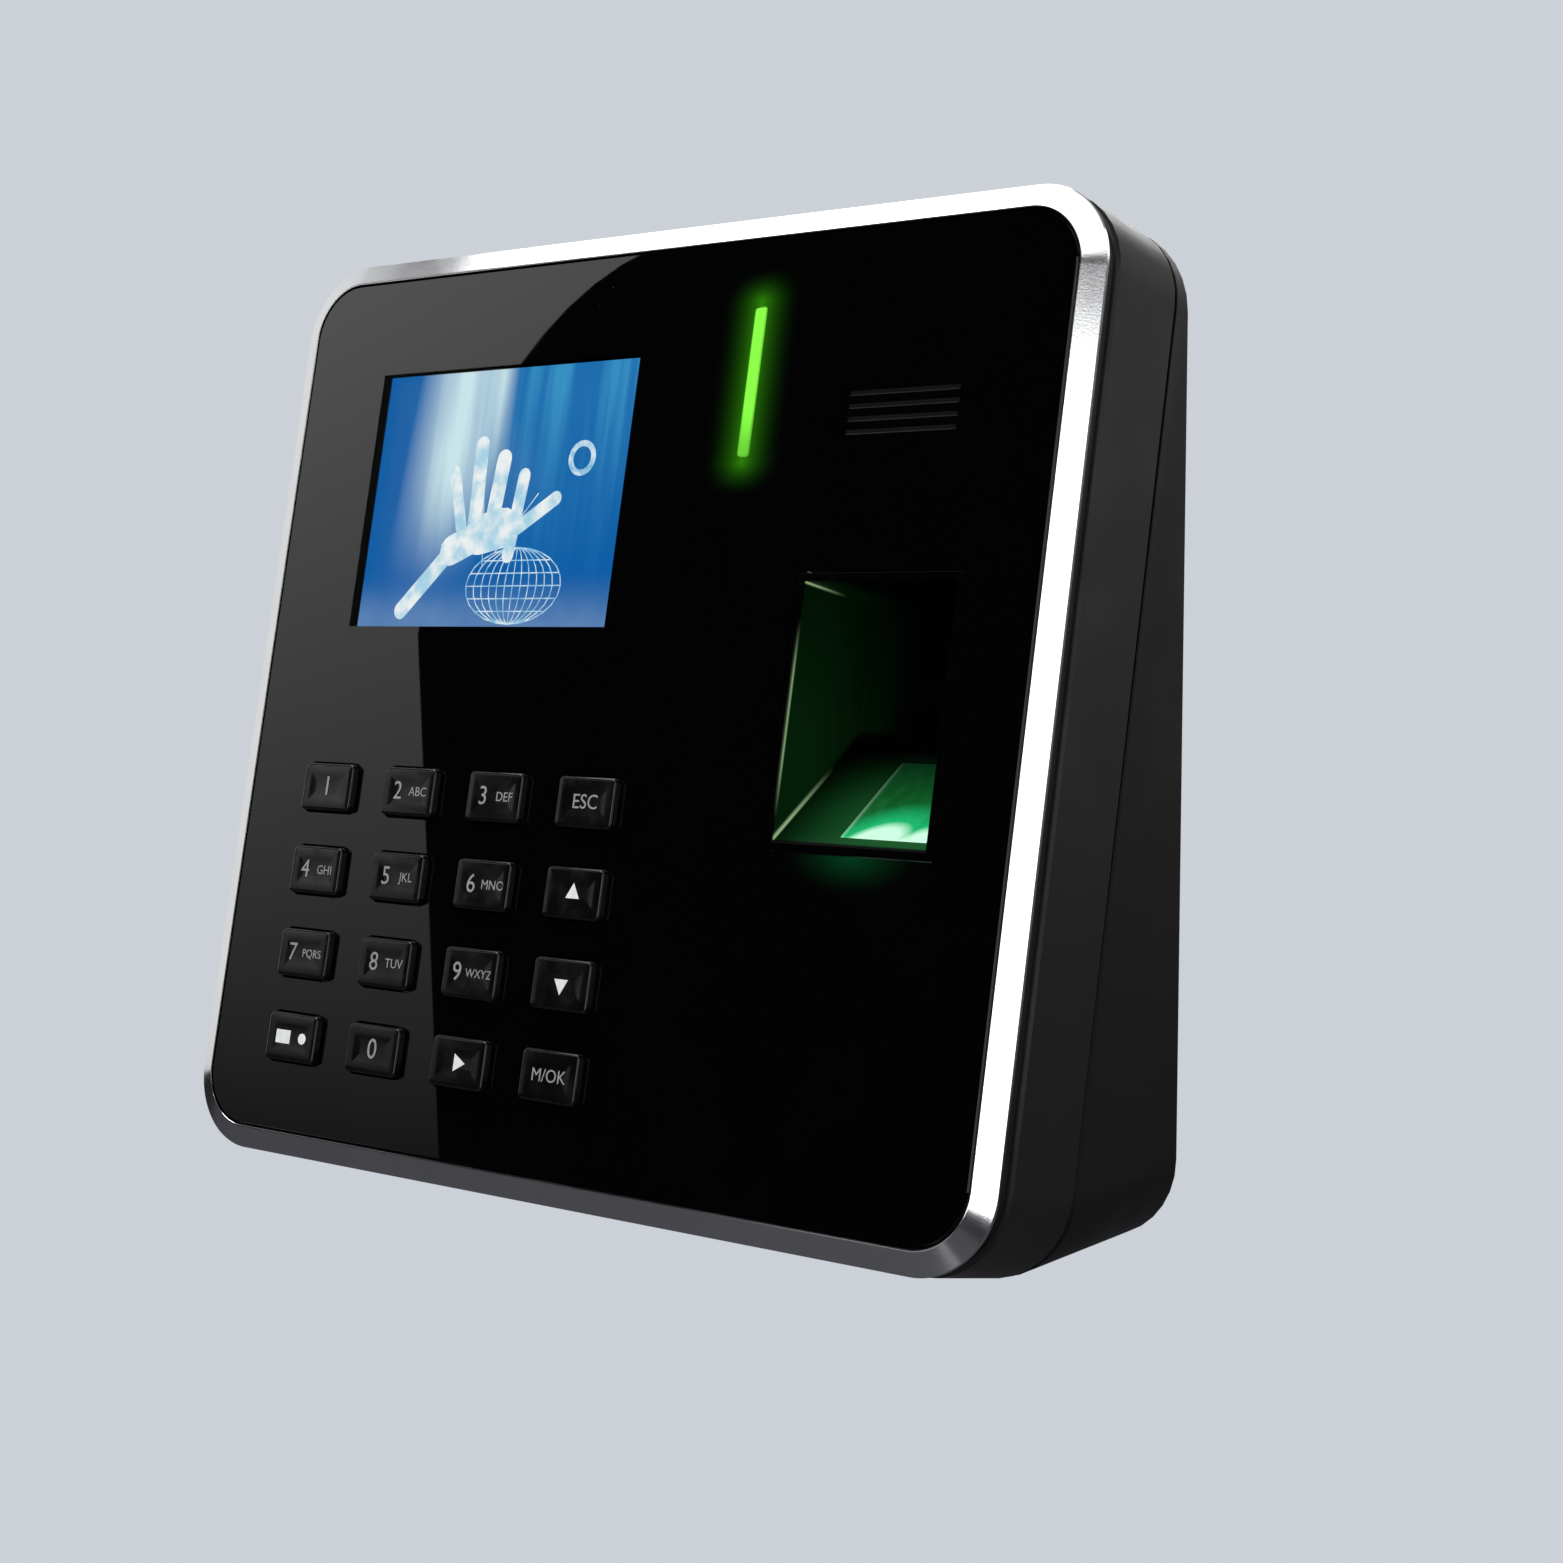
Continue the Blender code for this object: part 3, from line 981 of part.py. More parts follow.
def build_connectors():
    """Sockets that face down into the connector bay, and the socket in the bottom edge."""
    for name, (x, width, depth, length) in JACKS.items():
        colour = TERMINAL_GREEN if name == "door_connector" else CONNECTOR
        if name == "ethernet_jack":
            colour = TRAY
        low = (x - width / 2, PART_SEAT, JACK_MOUTH)
        high = (x + width / 2, PART_SEAT + depth, JACK_MOUTH + length)
        jack = finish(name, box_mesh(low, high), colour)
        middle = PART_SEAT + depth / 2
        mouth = JACK_MOUTH - OVERRUN
        if name == "ethernet_jack":
            cut(jack, "ethernet_port",
                box_mesh((x - PORT_WIDTH / 2, middle - PORT_HEIGHT / 2, mouth),
                         (x + PORT_WIDTH / 2, middle + PORT_HEIGHT / 2, JACK_MOUTH + PORT_DEPTH)))
            cut(jack, "ethernet_latch",
                box_mesh((x - LATCH_WIDTH / 2, middle + PORT_HEIGHT / 2 - HAIR, mouth),
                         (x + LATCH_WIDTH / 2, middle + PORT_HEIGHT / 2 + LATCH_HEIGHT,
                          JACK_MOUTH + LATCH_DEPTH)))
        elif name == "power_jack":
            bore_end = JACK_MOUTH + POWER_BORE_DEPTH
            cut(jack, "power_bore", upright_rod(x, middle, POWER_BORE_RADIUS, mouth, bore_end))
            join(jack, "power_pin", upright_rod(x, middle, POWER_PIN_RADIUS, JACK_MOUTH + OVERRUN,
                                                bore_end + OVERRUN))
        else:
            for index in range(DOOR_PORTS):
                port = x + (index - (DOOR_PORTS - 1) / 2) * DOOR_PORT_PITCH
                cut(jack, f"door_port_{index}",
                    box_mesh((port - DOOR_PORT_WIDTH / 2, middle - DOOR_PORT_HEIGHT / 2, mouth),
                             (port + DOOR_PORT_WIDTH / 2, middle + DOOR_PORT_HEIGHT / 2,
                              JACK_MOUTH + DOOR_PORT_DEPTH)))

    low = (USB_X - USB_WIDTH / 2, USB_FRONT, USB_MOUTH)
    high = (USB_X + USB_WIDTH / 2, USB_FRONT + USB_THICKNESS, USB_MOUTH + USB_LENGTH)
    usb = finish("usb_port", box_mesh(low, high), TRAY)
    cut(usb, "usb_hollow",
        box_mesh((low[0] + USB_SHELL, low[1] + USB_SHELL, low[2] - OVERRUN),
                 (high[0] - USB_SHELL, high[1] - USB_SHELL, low[2] + USB_POCKET)))
    join(usb, "usb_tongue",
         box_mesh((USB_X - USB_TONGUE_WIDTH / 2, low[1] + USB_TONGUE_GAP, low[2] + 2 * USB_SHELL),
                  (USB_X + USB_TONGUE_WIDTH / 2, low[1] + USB_TONGUE_GAP + USB_TONGUE_THICKNESS,
                   low[2] + USB_POCKET + OVERRUN)))


# ---------------------------------------------------------------- screws


def screw(name, x, z, under_head, length):
    """A pan-head screw driven towards the front, its head on the rear side."""
    made = finish(name, turned_mesh(0.0, 0.0, (
        (0.0, under_head - length), (SCREW_RADIUS * 0.6, under_head - length),
        (SCREW_RADIUS, under_head - length + 0.0010), (SCREW_RADIUS, under_head),
        (SCREW_HEAD_RADIUS, under_head), (SCREW_HEAD_RADIUS, under_head + SCREW_HEAD_HEIGHT * 0.6),
        (SCREW_HEAD_RADIUS * 0.8, under_head + SCREW_HEAD_HEIGHT * 0.92),
        (0.0, under_head + SCREW_HEAD_HEIGHT)), SCREW_STEPS), STEEL, smooth=True)
    made.location = (x, 0.0, z)
    return made


def build_screws():
    """Four cover screws, four board screws and the locking screw from below."""
    corner_names = ("top_left", "top_right", "bottom_left", "bottom_right")
    for label, (x, z) in zip(corner_names, COVER_SCREWS):
        screw("cover_screw_" + label, x, z, CREASE_DEPTH + HEAD_SEAT_DEPTH + SEAT_GAP, COVER_SCREW_LENGTH)
    for label, (x, z) in zip(corner_names, BOARD_SCREWS):
        screw("board_screw_" + label, x, z, MAIN_BOARD_BACK + SEAT_GAP,
              BOARD_SCREW_LENGTH - BOARD_SCREW_SPARE)
    locking = screw("security_screw", 0.0, 0.0, 0.0, LOCK_SCREW_LENGTH)
    locking.parent = None
    locking.location = (SECURITY_X, SECURITY_Y, -REAR_HALF_Z + SCREW_HEAD_HEIGHT + LOCK_SCREW_SINK)
    locking.rotation_euler = (math.radians(-90), 0.0, 0.0)


build_front_lens()
build_bezel_frame()
build_front_cover()
build_rear_cover()
build_wall_plate()
build_keypad()
build_display()
build_light_and_speaker()
build_scanner()
build_main_board()
build_screws()
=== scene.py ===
import json
import math

import bmesh
import bpy
from mathutils import Matrix, Vector


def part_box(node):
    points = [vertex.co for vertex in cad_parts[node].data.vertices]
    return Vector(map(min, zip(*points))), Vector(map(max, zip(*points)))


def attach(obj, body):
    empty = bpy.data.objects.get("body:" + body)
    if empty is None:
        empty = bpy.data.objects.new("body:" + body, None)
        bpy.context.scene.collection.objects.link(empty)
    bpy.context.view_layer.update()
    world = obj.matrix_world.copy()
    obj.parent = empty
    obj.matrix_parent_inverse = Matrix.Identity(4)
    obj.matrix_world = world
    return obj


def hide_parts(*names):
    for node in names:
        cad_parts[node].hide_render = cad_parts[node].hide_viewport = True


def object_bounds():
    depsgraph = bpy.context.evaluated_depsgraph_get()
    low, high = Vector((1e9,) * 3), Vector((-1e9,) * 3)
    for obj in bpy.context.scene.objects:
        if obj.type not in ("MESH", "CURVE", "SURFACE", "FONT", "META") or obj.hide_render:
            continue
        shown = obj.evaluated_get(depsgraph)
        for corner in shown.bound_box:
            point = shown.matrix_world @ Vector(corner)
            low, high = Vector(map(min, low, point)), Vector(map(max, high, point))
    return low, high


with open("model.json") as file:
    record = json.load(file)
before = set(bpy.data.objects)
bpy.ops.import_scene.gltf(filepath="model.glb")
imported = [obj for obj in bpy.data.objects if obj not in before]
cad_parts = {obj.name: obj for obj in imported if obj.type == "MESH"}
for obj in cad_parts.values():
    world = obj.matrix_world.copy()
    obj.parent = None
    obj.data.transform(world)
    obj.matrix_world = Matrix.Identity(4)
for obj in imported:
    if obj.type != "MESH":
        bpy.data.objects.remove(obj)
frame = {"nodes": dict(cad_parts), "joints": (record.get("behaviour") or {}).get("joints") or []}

CAD_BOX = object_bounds()
NODES = frame["nodes"]
JOINTS = {joint["name"]: joint for joint in frame["joints"]}

# ----------------------------------------
# The sloped panel. Its face leans back towards the wall, and the keys press along its normal,
# so their joint axis gives the slope. Pieces are drawn as (across, depth, height) on the panel
# and put in place through their meshes.

INWARD = Vector(JOINTS["key_5_press"]["axis"]).normalized()
UPWARD = Vector((1, 0, 0)).cross(INWARD)
TURN = Matrix(((1, 0, 0), INWARD, UPWARD))


def turned_box(node, matrix):
    """Lowest and highest corner of a node's mesh after a turn."""
    points = [matrix @ vertex.co for vertex in NODES[node].data.vertices]
    return (Vector([min(p[i] for p in points) for i in range(3)]),
            Vector([max(p[i] for p in points) for i in range(3)]))


sheet_low, sheet_high = turned_box("front_lens", TURN)
FACE = TURN.inverted() @ Vector(((sheet_low.x + sheet_high.x) / 2, sheet_low.y,
                                 (sheet_low.z + sheet_high.z) / 2))
ON_PANEL = Matrix.Translation(FACE) @ TURN.inverted().to_4x4()
FROM_PANEL = ON_PANEL.inverted()


def panel_box(node):
    """Lowest and highest corner of a node in the panel's frame."""
    return turned_box(node, FROM_PANEL)


def panel_centre(node):
    """Middle of a node in the panel's frame."""
    low, high = panel_box(node)
    return (low + high) / 2


# ----------------------------------------
# The camera stands to the right of the terminal, level with it and close enough for a strong
# perspective. A longish lens frames the housing with clear space all round.

CAMERA_FROM_FACE = Vector((0.2632, -0.2888, 0.0139))
CAMERA_LOOK = Vector((-0.6179, 0.7836, -0.0650)).normalized()
CAMERA_UP = Vector((-0.0398, 0.0515, 0.9979)).normalized()

camera = bpy.data.objects.new("camera", bpy.data.cameras.new("camera"))
bpy.context.scene.collection.objects.link(camera)
camera.data.sensor_width = 36.0
camera.data.lens = 58.73
camera.data.clip_start = 0.01
camera_right = CAMERA_LOOK.cross(CAMERA_UP).normalized()
camera_basis = Matrix((camera_right, camera_right.cross(CAMERA_LOOK), -CAMERA_LOOK)).transposed()
camera.matrix_world = Matrix.Translation(FACE + CAMERA_FROM_FACE) @ camera_basis.to_4x4()
bpy.context.scene.camera = camera
bpy.context.scene.view_settings.view_transform = "Standard"

# ----------------------------------------
# Finishes. Field is a number that varies over a surface, and Finish is one material: its
# shader, its nodes and the few patterns that the moulded, plated and printed pieces share.


def add_node(tree, kind, settings=None, inputs=None):
    """One node: its settings first, then the values or links of its sockets."""
    made = tree.nodes.new(kind)
    for name, value in (settings or {}).items():
        setattr(made, name, value)
    for name, value in (inputs or {}).items():
        plug(tree, made.inputs[name], value)
    return made


def plug(tree, socket, value):
    """Gives a socket a value, a link or a list of links."""
    for source in value if isinstance(value, list) else [value]:
        if isinstance(source, Field):
            source = source.socket
        if isinstance(source, bpy.types.NodeSocket):
            tree.links.new(source, socket)
        else:
            socket.default_value = source


class Field:
    """A number that varies over a surface; arithmetic on it adds Math nodes."""

    def __init__(self, finish, socket):
        self.finish = finish
        self.socket = socket

    def math(self, operation, *others, clamp=False):
        values = dict(enumerate((self, *others)))
        made = self.finish.node("ShaderNodeMath", {"operation": operation, "use_clamp": clamp}, values)
        return Field(self.finish, made.outputs[0])

    def __add__(self, other):
        return self.math("ADD", other)

    __radd__ = __add__

    def __mul__(self, other):
        return self.math("MULTIPLY", other)

    __rmul__ = __mul__

    def __sub__(self, other):
        return self.math("SUBTRACT", other)

    def __rsub__(self, other):
        return (self * -1.0) + other

    def __truediv__(self, other):
        return self.math("DIVIDE", other)

    def __pow__(self, other):
        return self.math("POWER", other)

    def __abs__(self):
        return self.math("ABSOLUTE")

    def bounded(self):
        return self.math("ADD", 0.0, clamp=True)

    def least(self, other):
        return self.math("MINIMUM", other)

    def most(self, other):
        return self.math("MAXIMUM", other)

    def step(self, start, end):
        """Rises smoothly from 0 at start to 1 at end."""
        made = self.finish.node("ShaderNodeMapRange", {"interpolation_type": "SMOOTHSTEP"},
                                {"Value": self, "From Min": start, "From Max": end})
        return Field(self.finish, made.outputs[0])


class Finish:
    """A material around one Principled shader, with sizes in metres on Object coordinates."""

    def __init__(self, name, colour, roughness, **constants):
        self.material = bpy.data.materials.new(name)
        self.material.use_nodes = True
        self.tree = self.material.node_tree
        self.shader = self.tree.nodes["Principled BSDF"]
        self.set("Base Color", (*colour, 1.0))
        self.set("Roughness", roughness)
        for socket, value in constants.items():
            self.set(socket.replace("_", " "), value)
        self.place = self.node("ShaderNodeTexCoord").outputs["Object"]

    def set(self, socket, value):
        plug(self.tree, self.shader.inputs[socket], value)

    def node(self, kind, settings=None, inputs=None):
        return add_node(self.tree, kind, settings, inputs)

    def stretched(self, across=1.0, deep=1.0, high=1.0):
        """Object coordinates with each axis scaled, for grain that runs one way."""
        return self.node("ShaderNodeMapping", None,
                         {"Vector": self.place, "Scale": (across, deep, high)}).outputs[0]

    def on_panel(self):
        """Across, depth and height on the sloped panel, as three fields."""
        turn = FROM_PANEL.to_euler()
        mapped = self.node("ShaderNodeMapping", None, {"Vector": self.place, "Rotation": turn,
                                                       "Location": FROM_PANEL.translation})
        split = self.node("ShaderNodeSeparateXYZ", None, {0: mapped.outputs[0]})
        return tuple(Field(self, output) for output in split.outputs)

    def noise(self, grain, detail=2.0, place=None):
        """Cloudy noise between 0 and 1 whose lumps are about one grain across."""
        made = self.node("ShaderNodeTexNoise", None, {"Vector": place or self.place,
                                                      "Scale": 1.0 / grain, "Detail": detail})
        return Field(self, made.outputs[0])

    def mix(self, share, first, second):
        """A colour between two colours."""
        ends = [(*end, 1.0) if isinstance(end, tuple) else end for end in (first, second)]
        made = self.node("ShaderNodeMix", {"data_type": "RGBA"}, {0: share, 6: ends[0], 7: ends[1]})
        return made.outputs[2]

    def tones(self, share, first, second, gain, base):
        """A colour between two, and a roughness of base plus gain, that follow one pattern."""
        self.set("Base Color", self.mix(share, first, second))
        self.set("Roughness", share * gain + base)

    def bump(self, height, depth, strength=1.0):
        """Relief of a given depth in metres."""
        made = self.node("ShaderNodeBump", None, {"Height": height, "Distance": depth,
                                                  "Strength": strength})
        self.set("Normal", made.outputs[0])


# ----------------------------------------
# The studio: a floor and backdrop that the camera sees in one even pale tone, while the terminal
# sees a dark floor and a sky that is dark in front so that the gloss stays deep, and soft boxes
# placed where the bright frame and the housing pick them up.

PALE = (0.604, 0.638, 0.686)
FLOOR_FELT = (0.10, 0.10, 0.11)
FLOOR_DROP = 0.30
FLOOR_REACH = 6.0
SKY_FADE = (-0.15, 0.75)
SKY_LIGHT = (0.012, 0.42)


def empty_tree(owner):
    """The nodes of a material or a world, cleared."""
    owner.use_nodes = True
    owner.node_tree.nodes.clear()
    return owner.node_tree


def seen_or_felt(tree, seen, felt, output):
    """Shows the camera one shader and lights the terminal with another."""
    to_camera = add_node(tree, "ShaderNodeLightPath").outputs["Is Camera Ray"]
    mixed = add_node(tree, "ShaderNodeMixShader", None,
                     {0: to_camera, 1: felt.outputs[0], 2: seen.outputs[0]})
    add_node(tree, output, None, {"Surface": mixed.outputs[0]})


def stage_sheet(name, corners, material):
    """A flat sheet of the studio."""
    mesh = bpy.data.meshes.new(name)
    mesh.from_pydata(corners, [], [tuple(range(len(corners)))])
    mesh.materials.append(material)
    made = bpy.data.objects.new(name, mesh)
    bpy.context.scene.collection.objects.link(made)
    return made


floor_finish = bpy.data.materials.new("pale_floor")
floor_tree = empty_tree(floor_finish)
seen_or_felt(floor_tree, add_node(floor_tree, "ShaderNodeEmission", None, {"Color": (*PALE, 1.0)}),
             add_node(floor_tree, "ShaderNodeBsdfDiffuse", None, {"Color": (*FLOOR_FELT, 1.0)}),
             "ShaderNodeOutputMaterial")
stage_sheet("studio_floor", [(side_x * FLOOR_REACH, side_y * FLOOR_REACH, CAD_BOX[0][2] - FLOOR_DROP)
                             for side_x, side_y in ((-1, -1), (1, -1), (1, 1), (-1, 1))], floor_finish)

world = bpy.data.worlds.new("studio")
bpy.context.scene.world = world
sky = empty_tree(world)
sky_place = add_node(sky, "ShaderNodeTexCoord").outputs["Generated"]
sky_depth = add_node(sky, "ShaderNodeSeparateXYZ", None, {0: sky_place}).outputs["Y"]
sky_fade = add_node(sky, "ShaderNodeMapRange", {"interpolation_type": "SMOOTHSTEP"}, {
    "Value": sky_depth, "From Min": SKY_FADE[0], "From Max": SKY_FADE[1],
    "To Min": SKY_LIGHT[0], "To Max": SKY_LIGHT[1]})
seen_or_felt(sky, add_node(sky, "ShaderNodeBackground", None, {"Color": (*PALE, 1.0)}),
             add_node(sky, "ShaderNodeBackground", None, {"Strength": sky_fade.outputs[0]}),
             "ShaderNodeOutputWorld")


def soft_box(name, azimuth, elevation, distance, width, height, brightness):
    """An area light aimed at the terminal; azimuth counts from the front towards the right."""
    turn = math.radians(azimuth)
    rise = math.radians(elevation)
    towards = Vector((math.sin(turn) * math.cos(rise), -math.cos(turn) * math.cos(rise), math.sin(rise)))
    data = bpy.data.lights.new(name, "AREA")
    data.shape = "RECTANGLE"
    data.size = width
    data.size_y = height
    data.energy = brightness * math.pi * width * height
    made = bpy.data.objects.new(name, data)
    made.rotation_euler = towards.to_track_quat("Z", "Y").to_euler()
    made.location = FACE + towards * distance
    made.visible_camera = False
    bpy.context.scene.collection.objects.link(made)


soft_box("front_box", 9, 12, 1.20, 0.56, 0.80, 2.2)
soft_box("top_box", -74, 60, 0.90, 0.60, 0.44, 3.0)
soft_box("corner_box", -17, 56, 1.00, 1.15, 0.46, 1.6)
soft_box("left_box", -92, 18, 1.20, 0.60, 1.15, 0.72)
soft_box("low_box", -18, -24, 0.60, 0.34, 0.22, 0.20)
soft_box("right_box", 62, 16, 1.30, 0.50, 0.90, 1.0)
soft_box("right_rear_box", 118, 30, 1.20, 0.55, 0.70, 1.3)
soft_box("left_rear_box", -140, 40, 1.30, 0.70, 0.70, 2.0)
soft_box("back_box", -155, 22, 1.30, 0.90, 0.90, 2.0)

# A white card stands out in front on the left. The glossy lens mirrors it as the grey sweep
# over the keypad side: it is hung where the lens, seen from the camera, shows it. Its edge is
# an arc above and a straight slanting cut below, and it fades towards the floor.

CARD_AHEAD = 0.55
SWEEP_TOP = Vector((0.0090, 0.0740))
SWEEP_WAIST = Vector((-0.0420, 0.0110))
SWEEP_FOOT = Vector((-0.0190, -0.0790))
CARD_OUTSIDE = -0.125
CARD_TOP = SWEEP_TOP.y + 0.010
CARD_LIGHT = (0.10, 1.45)
SWEEP_STEPS = 14

eye = FROM_PANEL @ camera.matrix_world.translation


def card_point(across, high):
    """Where the card's plane meets the mirrored line of sight through a panel point."""
    away = (CARD_AHEAD - eye.y) / -eye.y
    return ON_PANEL @ Vector((eye.x + (across - eye.x) * away, -CARD_AHEAD, eye.z + (high - eye.z) * away))


sweep = []
for step in range(SWEEP_STEPS + 1):
    turn = 0.5 * math.pi * step / SWEEP_STEPS
    sweep.append((SWEEP_TOP.x + (SWEEP_WAIST.x - SWEEP_TOP.x) * math.sin(turn),
                  SWEEP_WAIST.y + (SWEEP_TOP.y - SWEEP_WAIST.y) * math.cos(turn)))
sweep += [tuple(SWEEP_FOOT), (CARD_OUTSIDE, SWEEP_FOOT.y), (CARD_OUTSIDE, CARD_TOP), (SWEEP_TOP.x, CARD_TOP)]

card_finish = bpy.data.materials.new("reflector_card")
card_tree = empty_tree(card_finish)
card_place = add_node(card_tree, "ShaderNodeTexCoord").outputs["Object"]
card_height = add_node(card_tree, "ShaderNodeSeparateXYZ", None, {0: card_place}).outputs["Z"]
card_fade = add_node(card_tree, "ShaderNodeMapRange", None, {
    "Value": card_height, "From Min": card_point(0, SWEEP_FOOT.y).z,
    "From Max": card_point(0, SWEEP_TOP.y).z, "To Min": CARD_LIGHT[0], "To Max": CARD_LIGHT[1]})
card_glow = add_node(card_tree, "ShaderNodeEmission", None, {"Strength": card_fade.outputs[0]})
add_node(card_tree, "ShaderNodeOutputMaterial", None, {"Surface": card_glow.outputs[0]})
card = stage_sheet("reflector_card", [tuple(card_point(*point)) for point in sweep], card_finish)
card.visible_camera = False

# ----------------------------------------
# Front lens: one sheet of clear acrylic, printed black from behind except over the display.
# Its openings are routed and their edges polished. It is pressed into the silver frame. Its
# emission carries painted glow: a green halo round the status light and a pool below the pocket.

LENS_EDGE = 0.00022
DISPLAY_BORDER = 0.0030
WINDOW_CLEAR = 0.93
WINDOW_SOFT = 0.00005
BLACK = (0.0, 0.0, 0.0)
ACRYLIC_BLACK = (0.0010, 0.0010, 0.0012)
LENS_DUST = (0.0040, 0.0040, 0.0045)
# Painted glow: the halo is green light painted into the lens round the status light.
PAINTED_HALO_REACH = 0.0085
PAINTED_HALO_END = 0.0050
PAINTED_HALO_GREEN = (0.10, 0.80, 0.01)
# Painted glow: a pool of green light painted into the lens below the finger pocket.
PAINTED_POOL_X = 0.0510
PAINTED_POOL_HALF = (0.0125, 0.0060)
PAINTED_POOL_GREEN = (0.010, 0.450, 0.130)


def add_object(name, mesh, *finishes):
    """A piece made of one mesh, with its finishes."""
    for finish in finishes:
        mesh.materials.append(finish.material)
    made = bpy.data.objects.new(name, mesh)
    bpy.context.scene.collection.objects.link(made)
    return made


def bake_modifiers(piece):
    """Turns a piece with live modifiers into a plain mesh."""
    evaluated = piece.evaluated_get(bpy.context.evaluated_depsgraph_get())
    mesh = bpy.data.meshes.new_from_object(evaluated)
    piece.modifiers.clear()
    piece.data = mesh
    return piece


def soften(piece, width, segments=2, angle=35.0):
    """Rounds the sharp edges of a piece and keeps its flat faces flat in shading."""
    piece.data.shade_smooth()
    bevel = piece.modifiers.new("edges", "BEVEL")
    bevel.width = width
    bevel.segments = segments
    bevel.limit_method = "ANGLE"
    bevel.angle_limit = math.radians(angle)
    flat = piece.modifiers.new("flat_faces", "WEIGHTED_NORMAL")
    flat.weight = 100
    return bake_modifiers(piece)


def from_cad(node, name, finish, edge=0.0, segments=2, angle=35.0):
    """A piece with a node's exact shape, as one merged surface with softened edges."""
    source = bmesh.new()
    source.from_mesh(NODES[node].data)
    bmesh.ops.remove_doubles(source, verts=source.verts, dist=1e-6)
    bmesh.ops.dissolve_limit(source, angle_limit=math.radians(0.6), verts=source.verts,
                             edges=source.edges)
    mesh = bpy.data.meshes.new(name)
    source.to_mesh(mesh)
    source.free()
    made = add_object(name, mesh, finish)
    if edge > 0.0:
        soften(made, edge, segments, angle)
    else:
        made.data.shade_smooth()
        made.data.set_sharp_from_angle(angle=math.radians(angle))
    return made


light_low, light_high = panel_box("light_guide")
glass_low, glass_high = panel_box("lcd_glass")
pocket_low, pocket_high = panel_box("finger_guide")
light = panel_centre("light_guide")
light_half = (light_high.z - light_low.z) / 2
window_middle = panel_centre("lcd_glass")
window_half_x = (glass_high.x - glass_low.x) / 2 - DISPLAY_BORDER
window_half_z = (glass_high.z - glass_low.z) / 2 - DISPLAY_BORDER

acrylic = Finish("printed_acrylic", ACRYLIC_BLACK, 0.04, IOR=1.49, Emission_Strength=1.0)
across, depth, height = acrylic.on_panel()
past_side = abs(across - window_middle.x) - window_half_x
window = 1.0 - past_side.most(abs(height - window_middle.z) - window_half_z).step(-WINDOW_SOFT, WINDOW_SOFT)
smudge = acrylic.noise(0.018, 3.0).step(0.45, 0.75)
dust = acrylic.noise(0.0007, 1.0).step(0.78, 0.84)
acrylic.set("Alpha", 1.0 - window * WINDOW_CLEAR)
acrylic.set("Roughness", smudge * 0.012 + dust * 0.10 + 0.010)
acrylic.set("Base Color", acrylic.mix(dust * 0.25 + smudge * 0.10, ACRYLIC_BLACK, LENS_DUST))
# Painted glow round the status light, kept to the lens's front face and off the display window.
beyond_end = (abs(height - light.z) - light_half).most(0.0)
from_light = ((across - light.x) ** 2.0 + beyond_end ** 2.0) ** 0.5
painted_halo = (1.0 - from_light / PAINTED_HALO_REACH).most(0.0) ** 3.4 * (1.0 - beyond_end / PAINTED_HALO_END).most(0.0)
# Painted glow: an oval of green light on the lens just below the finger pocket.
painted_pool_x, painted_pool_z = (across - PAINTED_POOL_X) / PAINTED_POOL_HALF[0], (height - pocket_low.z) / PAINTED_POOL_HALF[1]
from_painted_pool = (painted_pool_x ** 2.0 + painted_pool_z ** 2.0) ** 0.5
painted_pool_glow = (1.0 - from_painted_pool).most(0.0) ** 2.0
on_face = 1.0 - depth.step(0.0004, 0.0010)
painted_led_halo = acrylic.mix(painted_halo * 0.26 * on_face * (1.0 - window), BLACK, PAINTED_HALO_GREEN)
acrylic.set("Emission Color", acrylic.mix(painted_pool_glow * 0.10 * on_face, painted_led_halo, PAINTED_POOL_GREEN))

lens = from_cad("front_lens", "lens_sheet", acrylic, LENS_EDGE)
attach(lens, "housing")
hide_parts("front_lens")

# ----------------------------------------
# Bezel frame: die cast, polished and plated bright. Its face slopes back to the outside, with
# a small roll at the inner edge and a knife edge over the black shadow groove.

FRAME_STEPS = 28
LENS_RADIUS = 0.0090
lens_low, lens_high = panel_box("front_lens")
BEZEL_BAND = panel_box("bezel_frame")[1].x - lens_high.x
BEZEL_GAP = 0.00018
BEZEL_ROLL = 0.00050
BEZEL_ROLL_DROP = 0.00007
BEZEL_LIP = 0.00015
BEZEL_SLOPE = 0.41
BEZEL_DROP = BEZEL_ROLL_DROP + BEZEL_SLOPE * (BEZEL_BAND - BEZEL_LIP - BEZEL_ROLL)
BEZEL_FACE = ((BEZEL_GAP, 0.0006), (BEZEL_GAP, 0.00008), (0.00024, 0.00001), (0.00034, 0.0),
              (BEZEL_ROLL, BEZEL_ROLL_DROP), (BEZEL_BAND - BEZEL_LIP, BEZEL_DROP),
              (BEZEL_BAND, BEZEL_DROP + 0.00032), (BEZEL_BAND - 0.0006, lens_high.y),
              (BEZEL_GAP, lens_high.y))


def outline(half_x, half_z, radius, steps, depth):
    """A rounded rectangle at one depth, as points in the panel's frame."""
    points = []
    for side_x, side_z, start in ((1, 1, 0.0), (-1, 1, 0.5), (-1, -1, 1.0), (1, -1, 1.5)):
        for step in range(steps + 1):
            angle = math.pi * (start + 0.5 * step / steps)
            points.append((side_x * (half_x - radius) + radius * math.cos(angle), depth,
                           side_z * (half_z - radius) + radius * math.sin(angle)))
    return points


